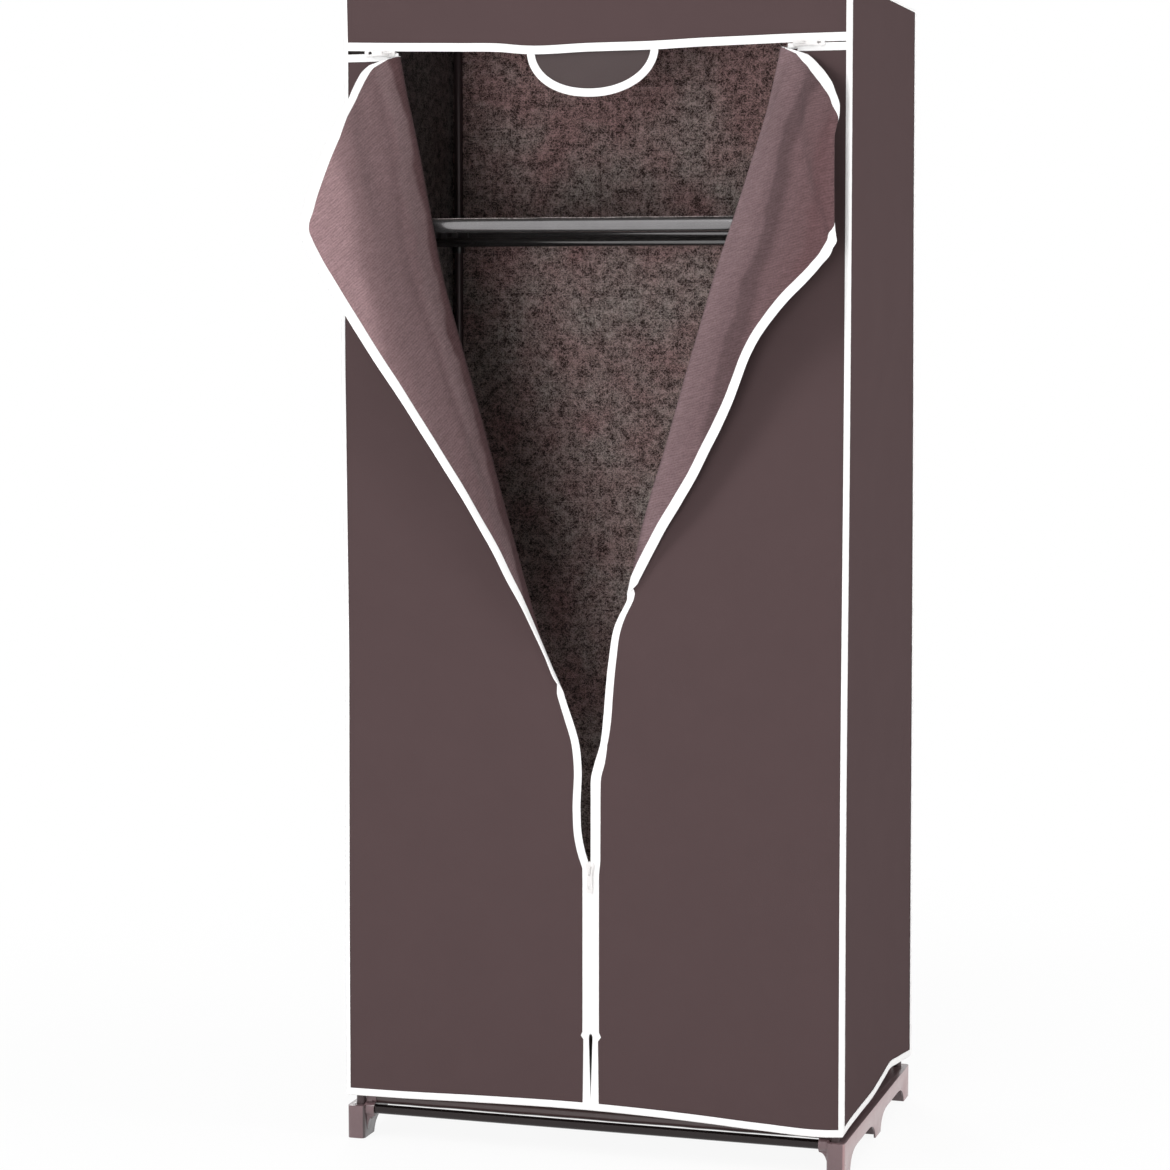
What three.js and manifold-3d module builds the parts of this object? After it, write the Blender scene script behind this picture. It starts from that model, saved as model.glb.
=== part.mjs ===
// Portable fabric wardrobe: a knock-down tube frame on two moulded base rails,
// under a zipped cloth cover whose two doors are opened and folded outwards.
// Millimetres, +Z up. The front of the wardrobe faces -Y.
import * as THREE from 'three';
import { mergeVertices } from 'three/addons/utils/BufferGeometryUtils.js';
import Module from 'manifold-3d';

const wasm = await Module();
wasm.setup();

// Overall size of the cloth box
const width = 700;
const depth = 450;
const height = 1580;

// Fits
const clearance = 0.3; // between neighbours that touch
const overrun = 1; // how far a cutter runs past the face it cuts
const mergeStep = 1e-3; // vertices closer than this are one
const halfShare = 0.5;

// Cloth, binding tape and hem
const cloth = 1.2;
const tape = 1.2;
const cornerTape = 7.5; // tape seen on each side of a box edge
const hemTape = 10.5;
const headerTape = 11.5;
const doorTopTape = 10.3;
const doorTape = 12;
const flapTape = 12;
const flapTapeThickness = 2.4;
const flapTapeGap = 1.3; // between a flap's cloth and its tape, where the edge bends most
const hemZ = 60; // lower edge of the cover above the floor

// Header band over the doors, its half-round tab and the slit of the top zips
const headerHeight = 77;
const headerTapeLap = 1.5; // how far the header's tape hangs below its cloth
const topSlit = 3; // open height between header and doors, where the top zips lie
const headerLow = height - headerHeight;
const headerTapeLow = headerLow - headerTapeLap;
const doorTopHigh = headerLow - topSlit;
const tabHalfWidth = 88;
const tabDrop = 61;
const tabTape = 12;
const tabSewn = 12; // how far the tab runs up behind the header
const doorTopTapeShort = 3; // between the end of a door's top tape and its fold

// Tubes
const tubeRadius = 6.5;
const shelfTubeRadius = 9;
const tubeWall = 1;
const tubeSides = 16;
const wideSides = 24; // on the fat sockets of the shelf tubes

// Posts
const postInset = 11; // centre line of a post inside the outer face of the cloth
const postX = width * halfShare - postInset;
const postY = depth * halfShare - postInset;
const couplerZ = 640;
const couplerRadius = 8.5;
const couplerHalf = 30;
const stopWeb = 1.6; // web in a sleeve that the two tubes butt against

// Moulded base rails
const railShift = 3; // middle of a rail outside the line of its posts
const railOverhang = 4.5; // how far a rail reaches past the cloth at each end
const railX = postX + railShift;
const railHalfWidth = 12.5;
const railHalfLength = depth * halfShare + railOverhang;
const railHeight = 46;
const railWall = 2.4;
const railRoof = 3;
const railCorner = 6;
const railBays = 12;
const railRib = 2;
const endFoot = 40;
const midFoot = 36;
const archRise = 25;
const archFlank = 46;
const archControlShare = 0.12;
const postSeat = 16; // floor of the post socket above the ground
const baseTubeZ = 40;
const sheetTubeZ = 54;
const sheetTubeInset = 10; // sheet tubes lie this much nearer the middle than the posts
const baseBossRadius = 9.5;
const baseBossReach = 12; // how far the tube sockets stand out of the rail
const baseSocket = 13;
const sheetSocket = 11;
const gussetThick = 8;
const gussetFoot = 6;
const webReachShare = 0.5; // web under a sheet socket, as a share of the socket's reach
const gussetControlShare = 0.1;

// Shelf brackets and top brackets
const shelfDrop = 312; // shelf tubes below the top
const shelfTubeInset = 8; // shelf tubes lie this much nearer the middle than the posts
const shelfZ = height - shelfDrop;
const shelfTubeY = postY - shelfTubeInset;
const hangingRailDrop = 17;
const sleeveRadius = 9.3;
const shelfSleeveHalf = 28;
const beamHalfWidth = 6;
const beamHalfHeight = 16;
const beamWeb = 3;
const beamBays = 8;
const bracketRib = 3;
const bossReach = 21; // tube sockets, from the post's centre line
const bossDepth = 12;
const bossWall = 2.7;
const topHalf = 9;
const topSleeveDrop = 30;
const topSeat = 6;

// Cloth shelf and cloth base
const shelfSheetEdgeGap = 2;
const shelfSheetWrap = 55; // degrees that the cloth follows the tube past its crown
const wrapSegments = 6;

// Zips, sliders and pulls
const slitHalf = 0.8;
const zipTop = 397;
const zipStop = 163;
const slitFoot = 72;
const slitFlare = 4;
const slitFlareRun = 1.2; // height in which the slit widens below the closed zip
const zipTapeWidth = 10.5;
const toothPitch = 6;
const toothDepth = 1.6;
const toothShare = 0.5;
const sliderHalfLength = 10;
const sliderHalfWide = 5.5;
const sliderHalfNarrow = 3.6;
const sliderPlate = 2;
const sliderBack = 1.5;
const sliderWeb = 0.8;
const sliderWebLow = 3;
const sliderWebHigh = 7;
const sliderRise = 2; // centre of the centre slider above the end of the closed zip
const sideSliderInset = 65; // top sliders inside the outer face of the cloth
const sideSliderX = width * halfShare - sideSliderInset;
const bridgeHalf = 5.5;
const bridgeBar = 1.5;
const bridgeHalfWidth = 1;
const bridgeOpening = 2.6;
const pullLength = 33;
const pullHalfTop = 3.6;
const pullHalfFoot = 4.6;
const pullThick = 1.4;
const pullSlotHalf = 1.7;
const pullSlot = 8;
const pullHoleRadius = 2.4;
const pullHoleShare = 0.76;
const pullHoleSides = 12;

// Folded-out door flaps. A row of a table gives its place down the fold line as a share of
// the fold, how far the free edge lies out over the door as a share of reach, and how far
// it stands forward of the door as a share of forward.
const bendRadius = 9;
const bendLap = 5; // degrees that the bend starts back over the door's face
const curlRadius = 8;
const bowShare = 0.035;
const curlLead = 8; // cloth before a curl that takes its columns too
const bendSteps = 6;
const panelSteps = 5;
const curlSteps = 7;
const curlRows = 2; // rows of the table that one becomes along a curl
const tapeSteps = 4;
const tapeMostShare = 0.72; // of a narrow flap's run that its tape may take
const flaps = {
  left: {
    side: -1,
    foldTopInset: 82,
    foldFootOut: 40,
    foldFootZ: 629,
    reach: 139,
    forward: 150,
    edgeShares: [
      [0.004, 0.03, 0.11], [0.008, 0.11, 0.2], [0.015, 0.19, 0.27], [0.03, 0.27, 0.39],
      [0.049, 0.35, 0.5], [0.078, 0.45, 0.6], [0.112, 0.55, 0.7], [0.167, 0.74, 0.87],
      [0.2, 0.88, 0.95], [0.225, 1, 1], [0.25, 0.985, 0.97], [0.291, 0.95, 0.93],
      [0.352, 0.88, 0.87], [0.415, 0.77, 0.8], [0.481, 0.65, 0.73], [0.545, 0.52, 0.67],
      [0.61, 0.4, 0.6], [0.7, 0.27, 0.49], [0.79, 0.16, 0.37], [0.881, 0.06, 0.23],
      [0.96, 0, 0.14],
    ],
    curlLength: 0,
    curlFromShare: 0,
    curlToShare: 0,
    gapeShares: [[0, 0.02], [0.21, 0.22], [0.41, 0.33], [0.65, 0.36], [0.9, 0.53], [1, 1]],
  },
  right: {
    side: 1,
    foldTopInset: 85,
    foldFootOut: 50,
    foldFootZ: 768,
    reach: 156,
    forward: 110,
    edgeShares: [
      [0, 0.03, 0.15], [0.003, 0.13, 0.23], [0.007, 0.24, 0.32], [0.017, 0.35, 0.46],
      [0.03, 0.46, 0.59], [0.061, 0.65, 0.82], [0.083, 0.72, 0.91], [0.12, 0.78, 0.97],
      [0.159, 0.84, 1], [0.2, 0.9, 0.96], [0.244, 0.95, 0.91], [0.28, 1, 0.88],
      [0.313, 0.95, 0.84], [0.371, 0.8, 0.75], [0.42, 0.64, 0.67], [0.473, 0.57, 0.62],
      [0.539, 0.51, 0.55], [0.623, 0.475, 0.455], [0.718, 0.34, 0.345], [0.825, 0.22, 0.25],
      [0.907, 0.115, 0.19], [0.965, 0.03, 0.16],
    ],
    curlLength: 58,
    curlFromShare: 0.083,
    curlToShare: 0.26,
    gapeShares: [[0, 0.02], [0.26, 0.03], [0.37, 0.14], [0.58, 0.37], [0.74, 0.51], [0.92, 0.77], [1, 1]],
  },
};

// Ends of each fold line in x and z: near the door's top corner, and where the flap runs out
const foldDrop = 14; // below the header
for (const flap of Object.values(flaps)) {
  flap.foldTop = [flap.side * (width * halfShare - flap.foldTopInset), headerLow - foldDrop];
  flap.foldFoot = [flap.side * flap.foldFootOut, flap.foldFootZ];
}

// The open flaps reach far in front of the base, so the wardrobe stands behind the middle
const frontReach = depth * halfShare + flaps.left.forward;
const middleShift = (frontReach - railHalfLength) * halfShare;

const looks = {
  fabric: new THREE.MeshStandardMaterial({ color: 0x5b4a49, roughness: 0.9, metalness: 0 }),
  lining: new THREE.MeshStandardMaterial({ color: 0x86737a, roughness: 0.95, metalness: 0 }),
  binding: new THREE.MeshStandardMaterial({ color: 0xf4f1ef, roughness: 0.8, metalness: 0 }),
  mesh_tab: new THREE.MeshStandardMaterial({ color: 0x6f6468, roughness: 0.8, metalness: 0 }),
  plastic: new THREE.MeshStandardMaterial({ color: 0x6a5557, roughness: 0.5, metalness: 0 }),
  steel: new THREE.MeshStandardMaterial({ color: 0x6f6b6b, roughness: 0.3, metalness: 0.9 }),
  zip: new THREE.MeshStandardMaterial({ color: 0x2b2424, roughness: 0.6, metalness: 0 }),
  slider: new THREE.MeshStandardMaterial({ color: 0xd8d4d2, roughness: 0.35, metalness: 0.7 }),
};

// Solids and their joins

function solidOf(geometry) {
  const bare = geometry.clone();
  bare.deleteAttribute('normal');
  bare.deleteAttribute('uv');
  const merged = mergeVertices(bare, mergeStep);
  const vertProperties = new Float32Array(merged.attributes.position.array);
  const triVerts = new Uint32Array(merged.index.array);
  return new wasm.Manifold(new wasm.Mesh({ numProp: 3, vertProperties, triVerts }));
}

function geometryOf(solid) {
  const mesh = solid.getMesh();
  const geometry = new THREE.BufferGeometry();
  geometry.setAttribute('position', new THREE.BufferAttribute(mesh.vertProperties, 3));
  geometry.setIndex(new THREE.BufferAttribute(mesh.triVerts, 1));
  return geometry;
}

function joined(geometries) {
  return geometries.map(solidOf).reduce((sum, next) => sum.add(next));
}

function block(x0, x1, y0, y1, z0, z1) {
  const geometry = new THREE.BoxGeometry(Math.abs(x1 - x0), Math.abs(y1 - y0), Math.abs(z1 - z0));
  geometry.translate((x0 + x1) * halfShare, (y0 + y1) * halfShare, (z0 + z1) * halfShare);
  return geometry;
}

// A flat outline given in two axes and pushed out along the third
function prismXY(shape, z0, z1, curveSegments = 6) {
  const geometry = new THREE.ExtrudeGeometry(shape, { depth: z1 - z0, bevelEnabled: false, curveSegments });
  return geometry.translate(0, 0, z0);
}

function prismXZ(shape, y0, y1, curveSegments = 10) {
  const geometry = new THREE.ExtrudeGeometry(shape, { depth: y1 - y0, bevelEnabled: false, curveSegments });
  return geometry.rotateX(Math.PI * halfShare).translate(0, y1, 0);
}

function prismYZ(shape, x0, x1, curveSegments = 8) {
  const geometry = new THREE.ExtrudeGeometry(shape, { depth: x1 - x0, bevelEnabled: false, curveSegments });
  const turn = new THREE.Matrix4().makeBasis(
    new THREE.Vector3(0, 1, 0), new THREE.Vector3(0, 0, 1), new THREE.Vector3(1, 0, 0));
  return geometry.applyMatrix4(turn).translate(x0, 0, 0);
}

function outline(points) {
  return new THREE.Shape(points.map(([a, b]) => new THREE.Vector2(a, b)));
}

function lathe(profile, sides = tubeSides) {
  return new THREE.LatheGeometry(profile.map(([r, h]) => new THREE.Vector2(r, h)), sides);
}

function rod(radius, length, sides = tubeSides) {
  return lathe([[0, 0], [radius, 0], [radius, length], [0, length]], sides);
}

function pipe(radius, length, wall = tubeWall) {
  const bore = radius - wall;
  return lathe([[bore, 0], [radius, 0], [radius, length], [bore, length], [bore, 0]]);
}

// A turned piece that stands on its start and runs up Z, or along X
const upZ = (geometry) => geometry.rotateX(Math.PI * halfShare);
const alongX = (geometry) => geometry.rotateZ(-Math.PI * halfShare);

function rodX(radius, x0, x1, y, z, sides) {
  const low = Math.min(x0, x1);
  return alongX(rod(radius, Math.abs(x1 - x0), sides)).translate(low, y, z);
}

function rodZ(radius, z0, z1, x, y, sides) {
  return upZ(rod(radius, z1 - z0, sides)).translate(x, y, z0);
}

function piece(name, geometry, look, position = [0, 0, 0]) {
  const mesh = new THREE.Mesh(geometry, look);
  mesh.name = name;
  mesh.position.set(...position);
  return mesh;
}

// Base rails: a hollow moulding with three feet, arches between them and cross ribs inside

function archTo(shape, from, to) {
  const swing = archFlank * archControlShare;
  shape.quadraticCurveTo(from + swing, archRise, from + archFlank, archRise);
  shape.lineTo(to - archFlank, archRise);
  shape.quadraticCurveTo(to - swing, archRise, to, 0);
}

function railOutline() {
  const mid = midFoot * halfShare;
  const shape = new THREE.Shape();
  shape.moveTo(-railHalfLength, 0);
  shape.lineTo(-railHalfLength + endFoot, 0);
  archTo(shape, -railHalfLength + endFoot, -mid);
  shape.lineTo(mid, 0);
  archTo(shape, mid, railHalfLength - endFoot);
  shape.lineTo(railHalfLength, 0);
  shape.lineTo(railHalfLength, railHeight);
  shape.lineTo(-railHalfLength, railHeight);
  return shape;
}

function roundedPlan(halfX, halfY, radius) {
  const shape = new THREE.Shape();
  const quarter = Math.PI * halfShare;
  const corners = [[1, -1], [1, 1], [-1, 1], [-1, -1]];
  corners.forEach(([sx, sy], index) => {
    const start = (index - 1) * quarter;
    shape.absarc(sx * (halfX - radius), sy * (halfY - radius), radius, start, start + quarter, false);
  });
  return shape;
}

function gusset(inward) {
  const wall = inward * (railHalfWidth - clearance);
  const tip = inward * (railHalfWidth + baseBossReach);
  const under = baseTubeZ - baseBossRadius;
  const shape = new THREE.Shape();
  shape.moveTo(wall, gussetFoot);
  shape.quadraticCurveTo(wall + (tip - wall) * gussetControlShare, under, tip, under);
  shape.lineTo(tip, baseTubeZ);
  shape.lineTo(wall, baseTubeZ);
  return shape;
}

function railCells() {
  const reachX = railHalfWidth - railWall;
  const reachY = railHalfLength - railWall;
  const pitch = (reachY + reachY + railRib) / railBays;
  const cells = [];
  for (let bay = 0; bay < railBays; bay += 1) {
    const start = bay * pitch - reachY;
    cells.push(block(-reachX, reachX, start, start + pitch - railRib, -overrun, railHeight - railRoof));
  }
  return cells;
}

function baseRail(side) {
  const inward = -side;
  const face = inward * railHalfWidth;
  const tip = inward * (railHalfWidth + baseBossReach);
  const postAt = inward * (railX - postX);
  const sheetY = postY - sheetTubeInset;
  const fit = tubeRadius + clearance;
  let rail = solidOf(prismYZ(railOutline(), -railHalfWidth, railHalfWidth));
  rail = rail.intersect(solidOf(prismXY(roundedPlan(railHalfWidth, railHalfLength, railCorner), 0, railHeight)));
  railCells().forEach((cell) => { rail = rail.subtract(solidOf(cell)); });
  const bores = [];
  for (const end of [-1, 1]) {
    const root = face - inward * railWall;
    const added = [
      rodZ(sleeveRadius, 0, railHeight - clearance, postAt, end * postY),
      rodX(baseBossRadius, root, tip, end * postY, baseTubeZ),
      rodX(baseBossRadius, root, tip, end * sheetY, sheetTubeZ),
      prismXZ(gusset(inward), end * postY - gussetThick * halfShare, end * postY + gussetThick * halfShare),
      block(root, face + inward * baseBossReach * webReachShare, end * sheetY - baseBossRadius,
        end * sheetY + baseBossRadius, archRise, sheetTubeZ),
    ];
    rail = rail.add(joined(added));
    bores.push(rodZ(fit, postSeat, railHeight + overrun, postAt, end * postY));
    bores.push(rodX(fit, tip - inward * baseSocket, tip + inward * overrun, end * postY, baseTubeZ));
    bores.push(rodX(fit, tip - inward * sheetSocket, tip + inward * overrun, end * sheetY, sheetTubeZ));
  }
  bores.forEach((bore) => { rail = rail.subtract(solidOf(bore)); });
  return geometryOf(rail);
}

// Shelf and top brackets: post sleeves, a ribbed beam between them and tube sockets

function beamPockets(inward, halfLength, halfHeight) {
  const pitch = (halfLength + halfLength + bracketRib) / beamBays;
  const pockets = [];
  for (let bay = 0; bay < beamBays; bay += 1) {
    const start = bay * pitch - halfLength;
    const web = inward * (beamWeb - beamHalfWidth);
    const open = inward * (beamHalfWidth + overrun);
    const reach = halfHeight - bracketRib;
    pockets.push(block(web, open, start, start + pitch - bracketRib, -reach, reach));
  }
  return pockets;
}

function beam(inward, halfHeight) {
  const endY = postY - tubeRadius - clearance;
  const pocketEnd = postY - sleeveRadius - bossWall - bossDepth;
  let solid = solidOf(block(-beamHalfWidth, beamHalfWidth, -endY, endY, -halfHeight, halfHeight));
  beamPockets(inward, pocketEnd, halfHeight).forEach((pocket) => { solid = solid.subtract(solidOf(pocket)); });
  return solid;
}

function shelfBracket(side) {
  const inward = -side;
  const fit = tubeRadius + clearance;
  const wideFit = shelfTubeRadius + clearance;
  const tip = inward * bossReach;
  const seat = inward * (bossReach - bossDepth);
  const web = stopWeb * halfShare;
  let bracket = beam(inward, beamHalfHeight);
  bracket = bracket.add(solidOf(rodX(fit + bossWall, -inward * beamHalfWidth, tip, 0, -hangingRailDrop)));
  const bores = [rodX(fit, seat, tip + inward * overrun, 0, -hangingRailDrop)];
  for (const end of [-1, 1]) {
    bracket = bracket.add(joined([
      rodZ(sleeveRadius, -shelfSleeveHalf, shelfSleeveHalf, 0, end * postY),
      rodX(wideFit + bossWall, 0, tip, end * shelfTubeY, 0, wideSides),
    ]));
    bores.push(rodX(wideFit, seat, tip + inward * overrun, end * shelfTubeY, 0));
    bores.push(rodZ(fit, web, shelfSleeveHalf + overrun, 0, end * postY));
    bores.push(rodZ(fit, -shelfSleeveHalf - overrun, -web, 0, end * postY));
  }
  bores.forEach((bore) => { bracket = bracket.subtract(solidOf(bore)); });
  return geometryOf(bracket);
}

function topBracket(side) {
  const inward = -side;
  const fit = tubeRadius + clearance;
  const tip = inward * bossReach;
  const seat = inward * (bossReach - bossDepth);
  let bracket = beam(inward, topHalf);
  const bores = [];
  for (const end of [-1, 1]) {
    bracket = bracket.add(joined([
      rodZ(sleeveRadius, -topSleeveDrop, topHalf, 0, end * postY),
      rodX(topHalf, 0, tip, end * postY, 0),
    ]));
    bores.push(rodX(fit, seat, tip + inward * overrun, end * postY, 0));
    bores.push(rodZ(fit, -topSleeveDrop - overrun, -topSeat, 0, end * postY));
  }
  bores.forEach((bore) => { bracket = bracket.subtract(solidOf(bore)); });
  return geometryOf(bracket);
}

function coupler() {
  const fit = tubeRadius + clearance;
  const web = stopWeb * halfShare;
  const profile = [
    [0, -web], [fit, -web], [fit, -couplerHalf], [couplerRadius, -couplerHalf],
    [couplerRadius, couplerHalf], [fit, couplerHalf], [fit, web], [0, web],
  ];
  return upZ(lathe(profile));
}

const topZ = height - cloth - clearance - topHalf;

function addFrame(group) {
  const railTubeEnd = railX - railHalfWidth - baseBossReach + baseSocket - clearance;
  const sheetTubeEnd = railX - railHalfWidth - baseBossReach + sheetSocket - clearance;
  const bracketTubeEnd = postX - bossReach + bossDepth - clearance;
  const butt = stopWeb * halfShare + clearance;
  const spans = {
    lower: [postSeat + clearance, couplerZ - butt],
    middle: [couplerZ + butt, shelfZ - butt],
    upper: [shelfZ + butt, topZ - topSeat - clearance],
  };
  const sides = { left: -1, right: 1 };
  const ends = { front: -1, rear: 1 };
  for (const [sideName, side] of Object.entries(sides)) {
    group.add(piece(`base_rail_${sideName}`, baseRail(side), looks.plastic, [side * railX, 0, 0]));
    group.add(piece(`shelf_bracket_${sideName}`, shelfBracket(side), looks.plastic, [side * postX, 0, shelfZ]));
    group.add(piece(`top_bracket_${sideName}`, topBracket(side), looks.plastic, [side * postX, 0, topZ]));
    for (const [endName, end] of Object.entries(ends)) {
      const place = `${endName}_${sideName}`;
      group.add(piece(`post_coupler_${place}`, coupler(), looks.plastic, [side * postX, end * postY, couplerZ]));
      for (const [spanName, [z0, z1]] of Object.entries(spans)) {
        const tube = upZ(pipe(tubeRadius, z1 - z0));
        group.add(piece(`post_${spanName}_${place}`, tube, looks.steel, [side * postX, end * postY, z0]));
      }
    }
  }
  const crossTube = (name, radius, endX, y, z) => {
    group.add(piece(name, alongX(pipe(radius, endX + endX)), looks.steel, [-endX, y, z]));
  };
  for (const [endName, end] of Object.entries(ends)) {
    crossTube(`base_tube_${endName}`, tubeRadius, railTubeEnd, end * postY, baseTubeZ);
    crossTube(`base_sheet_tube_${endName}`, tubeRadius, sheetTubeEnd, end * (postY - sheetTubeInset), sheetTubeZ);
    crossTube(`shelf_tube_${endName}`, shelfTubeRadius, bracketTubeEnd, end * shelfTubeY, shelfZ);
    crossTube(`top_tube_${endName}`, tubeRadius, bracketTubeEnd, end * postY, topZ);
  }
  crossTube('hanging_rail', tubeRadius, bracketTubeEnd, 0, shelfZ - hangingRailDrop);
}

// Cloth shelf laid over its two tubes, and cloth base with a sleeve round each of its tubes

function shelfSheet() {
  const inner = shelfTubeRadius + clearance;
  const outer = inner + cloth;
  const top = Math.PI * halfShare;
  const wrap = THREE.MathUtils.degToRad(shelfSheetWrap);
  const half = postX - bossReach - shelfSheetEdgeGap;
  const shape = new THREE.Shape();
  shape.absarc(-shelfTubeY, 0, outer, top + wrap, top, true);
  shape.absarc(shelfTubeY, 0, outer, top, top - wrap, true);
  shape.absarc(shelfTubeY, 0, inner, top - wrap, top, false);
  shape.absarc(-shelfTubeY, 0, inner, top, top + wrap, false);
  return prismYZ(shape, -half, half, wrapSegments);
}

function baseSheet() {
  const bore = tubeRadius + clearance;
  const outer = bore + cloth;
  const y = postY - sheetTubeInset;
  const half = railX - railHalfWidth - baseBossReach - clearance;
  let sheet = joined([
    rodX(outer, -half, half, -y, 0),
    rodX(outer, -half, half, y, 0),
    block(-half, half, -y, y, bore, outer),
  ]);
  const cut = half + overrun;
  [-y, y].forEach((at) => { sheet = sheet.subtract(solidOf(rodX(bore, -cut, cut, at, 0))); });
  return geometryOf(sheet);
}

// Cover: five flat panels, the header band with its tab, and the tape on every edge

const faceY = -depth * halfShare; // outer face of the front cloth
const frontIn = faceY + cloth; // its inner face
const tapeBack = faceY - clearance; // back face of the tape laid on the front cloth
const tapeFront = tapeBack - tape;

function coverCage() {
  const inX = width * halfShare + clearance;
  const inY = depth * halfShare + clearance;
  const inZ = height + clearance;
  const far = cornerTape + tape;
  const winX = inX + tape - far;
  const winY = inY + tape - far;
  const cut = overrun + tape;
  let cage = solidOf(block(-inX - tape, inX + tape, -inY - tape, inY + tape, hemZ, inZ + tape));
  const cuts = [
    block(-inX, inX, -inY, inY, hemZ - cut, inZ),
    block(-winX, winX, -inY - cut, inY + cut, hemZ + hemTape, inZ + tape - far),
    block(-inX - cut, inX + cut, -winY, winY, hemZ + hemTape, inZ + tape - far),
    block(-winX, winX, -winY, winY, inZ - cut, inZ + cut),
  ];
  cuts.forEach((next) => { cage = cage.subtract(solidOf(next)); });
  Object.values(flaps).forEach((flap) => { cage = cage.add(solidOf(doorTopTapeStrip(flap))); });
  return geometryOf(cage);
}

function halfRound(halfWidth, drop, top) {
  const shape = new THREE.Shape();
  shape.absellipse(0, headerLow, halfWidth, drop, Math.PI, 2 * Math.PI, false);
  shape.lineTo(halfWidth, top);
  shape.lineTo(-halfWidth, top);
  return shape;
}

function headerBinding() {
  const half = width * halfShare + clearance - cornerTape - clearance;
  const strip = block(-half, half, tapeFront, tapeBack, headerTapeLow, headerTapeLow + headerTape);
  const cut = tape + cloth + overrun;
  const low = headerLow - clearance;
  const top = headerLow + overrun;
  const ring = solidOf(prismXZ(halfRound(tabHalfWidth, tabDrop, top), tapeFront, frontIn))
    .subtract(solidOf(prismXZ(halfRound(tabHalfWidth - tabTape, tabDrop - tabTape, top + overrun),
      tapeFront - cut, frontIn + cut)));
  const above = block(-width, width, tapeFront - cut, frontIn + cut, low - clearance, headerLow + headerLow);
  return geometryOf(ring.subtract(solidOf(above)).add(solidOf(strip)));
}

function headerTab() {
  const half = tabHalfWidth - tabTape * halfShare;
  const shape = halfRound(half, tabDrop - tabTape * halfShare, headerLow + tabSewn);
  return prismXZ(shape, frontIn + clearance, frontIn + clearance + cloth);
}

// Door panels: the fold line bounds the upper part, the gaping edge and the slit the lower

function doorEdge(flap) {
  const [footX, footZ] = flap.foldFoot;
  const rise = footZ - zipTop;
  const gape = flap.gapeShares.map(([up, out]) => {
    const x = flap.side * Math.max(Math.abs(footX) * out, slitHalf);
    return [x, zipTop + rise * up];
  });
  const slit = flap.side * slitHalf;
  const flare = flap.side * slitFlare;
  return [[slit, hemZ], [slit, slitFoot], [flare, zipStop - slitFlareRun], [slit, zipStop + slitFlareRun], ...gape];
}

function foldPoint(flap, along) {
  const [topX, topZ] = flap.foldTop;
  const [footX, footZ] = flap.foldFoot;
  const share = along / Math.hypot(topX - footX, topZ - footZ);
  return [topX + (footX - topX) * share, topZ + (footZ - topZ) * share];
}

function doorPanel(flap) {
  const outer = flap.side * (width * halfShare);
  const top = doorTopHigh - clearance;
  const [topX] = flap.foldTop;
  const corner = [topX + flap.side * clearance, top];
  const points = [[outer, hemZ], ...doorEdge(flap), flap.foldTop, corner, [outer, top]];
  return prismXZ(outline(points), faceY, frontIn);
}

// The tape runs on up the fold line, to just below the end of the folded-out flap
function doorBinding(flap) {
  const [topX, topZ] = flap.foldTop;
  const length = Math.hypot(topX - flap.foldFoot[0], topZ - flap.foldFoot[1]);
  const slant = Math.abs(topX - flap.foldFoot[0]) / length;
  const [lastShare] = flap.edgeShares[flap.edgeShares.length - 1];
  const above = foldPoint(flap, length * lastShare + doorTape * slant + clearance + cloth);
  const low = hemZ + hemTape + clearance;
  const edge = [...doorEdge(flap), above].map(([x, z]) => [x, Math.max(z, low)]);
  const outer = edge.map(([x, z]) => [x + flap.side * doorTape, z]).reverse();
  return prismXZ(outline([...edge, ...outer]), tapeFront, tapeBack);
}

// The tape on top of the zipped end of a door is sewn into the tape of the box edge
function doorTopTapeStrip(flap) {
  const outer = flap.side * (width * halfShare - cornerTape * halfShare);
  const inner = flap.foldTop[0] + flap.side * doorTopTapeShort;
  return block(outer, inner, tapeFront, tapeBack, doorTopHigh - doorTopTape, doorTopHigh);
}

// Folded-out flap. In a section square to the fold line, the cloth leaves the door's face,
// turns round the bend, runs straight to the free edge and may curl back there.

const foldAxis = clearance + flapTapeThickness * halfShare + bendRadius; // in front of the door
const bedding = (flapTapeThickness - cloth) * halfShare; // how far the cloth's start sits lower

function sectionPath(out, forward, curl) {
  const rise = forward - foldAxis;
  const far = Math.hypot(out, rise);
  const lean = Math.atan2(rise, out) - Math.asin(Math.min(bendRadius / far, 1));
  const run = Math.sqrt(Math.max(far * far - bendRadius * bendRadius, 0));
  const start = -THREE.MathUtils.degToRad(bendLap);
  const turn = Math.PI - lean;
  const path = [];
  for (let step = 0; step <= bendSteps; step += 1) {
    const angle = start + (turn - start) * (step / bendSteps);
    path.push([-bendRadius * Math.sin(angle), foldAxis - bendRadius * Math.cos(angle), Math.PI - angle]);
  }
  const [fromOut, fromForward] = path[bendSteps];
  for (let step = 1; step <= panelSteps; step += 1) {
    const share = step / panelSteps;
    const bow = run * bowShare * Math.sin(Math.PI * share);
    const tilt = Math.PI * bowShare * Math.cos(Math.PI * share);
    path.push([
      fromOut + run * share * Math.cos(lean) - bow * Math.sin(lean),
      fromForward + run * share * Math.sin(lean) + bow * Math.cos(lean),
      lean + tilt,
    ]);
  }
  const [endOut, endForward, endLean] = path[path.length - 1];
  for (let step = 1; step <= curlSteps; step += 1) {
    const bent = Math.min(curl * (step / curlSteps), curlRadius * Math.PI);
    const rest = curl * (step / curlSteps) - bent;
    const angle = endLean - bent / curlRadius;
    const sideways = Math.sin(endLean) - Math.sin(angle);
    const onward = Math.cos(angle) - Math.cos(endLean);
    path.push([
      endOut + curlRadius * sideways + rest * Math.cos(angle),
      endForward + curlRadius * onward + rest * Math.sin(angle),
      angle,
    ]);
  }
  return path;
}

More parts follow.
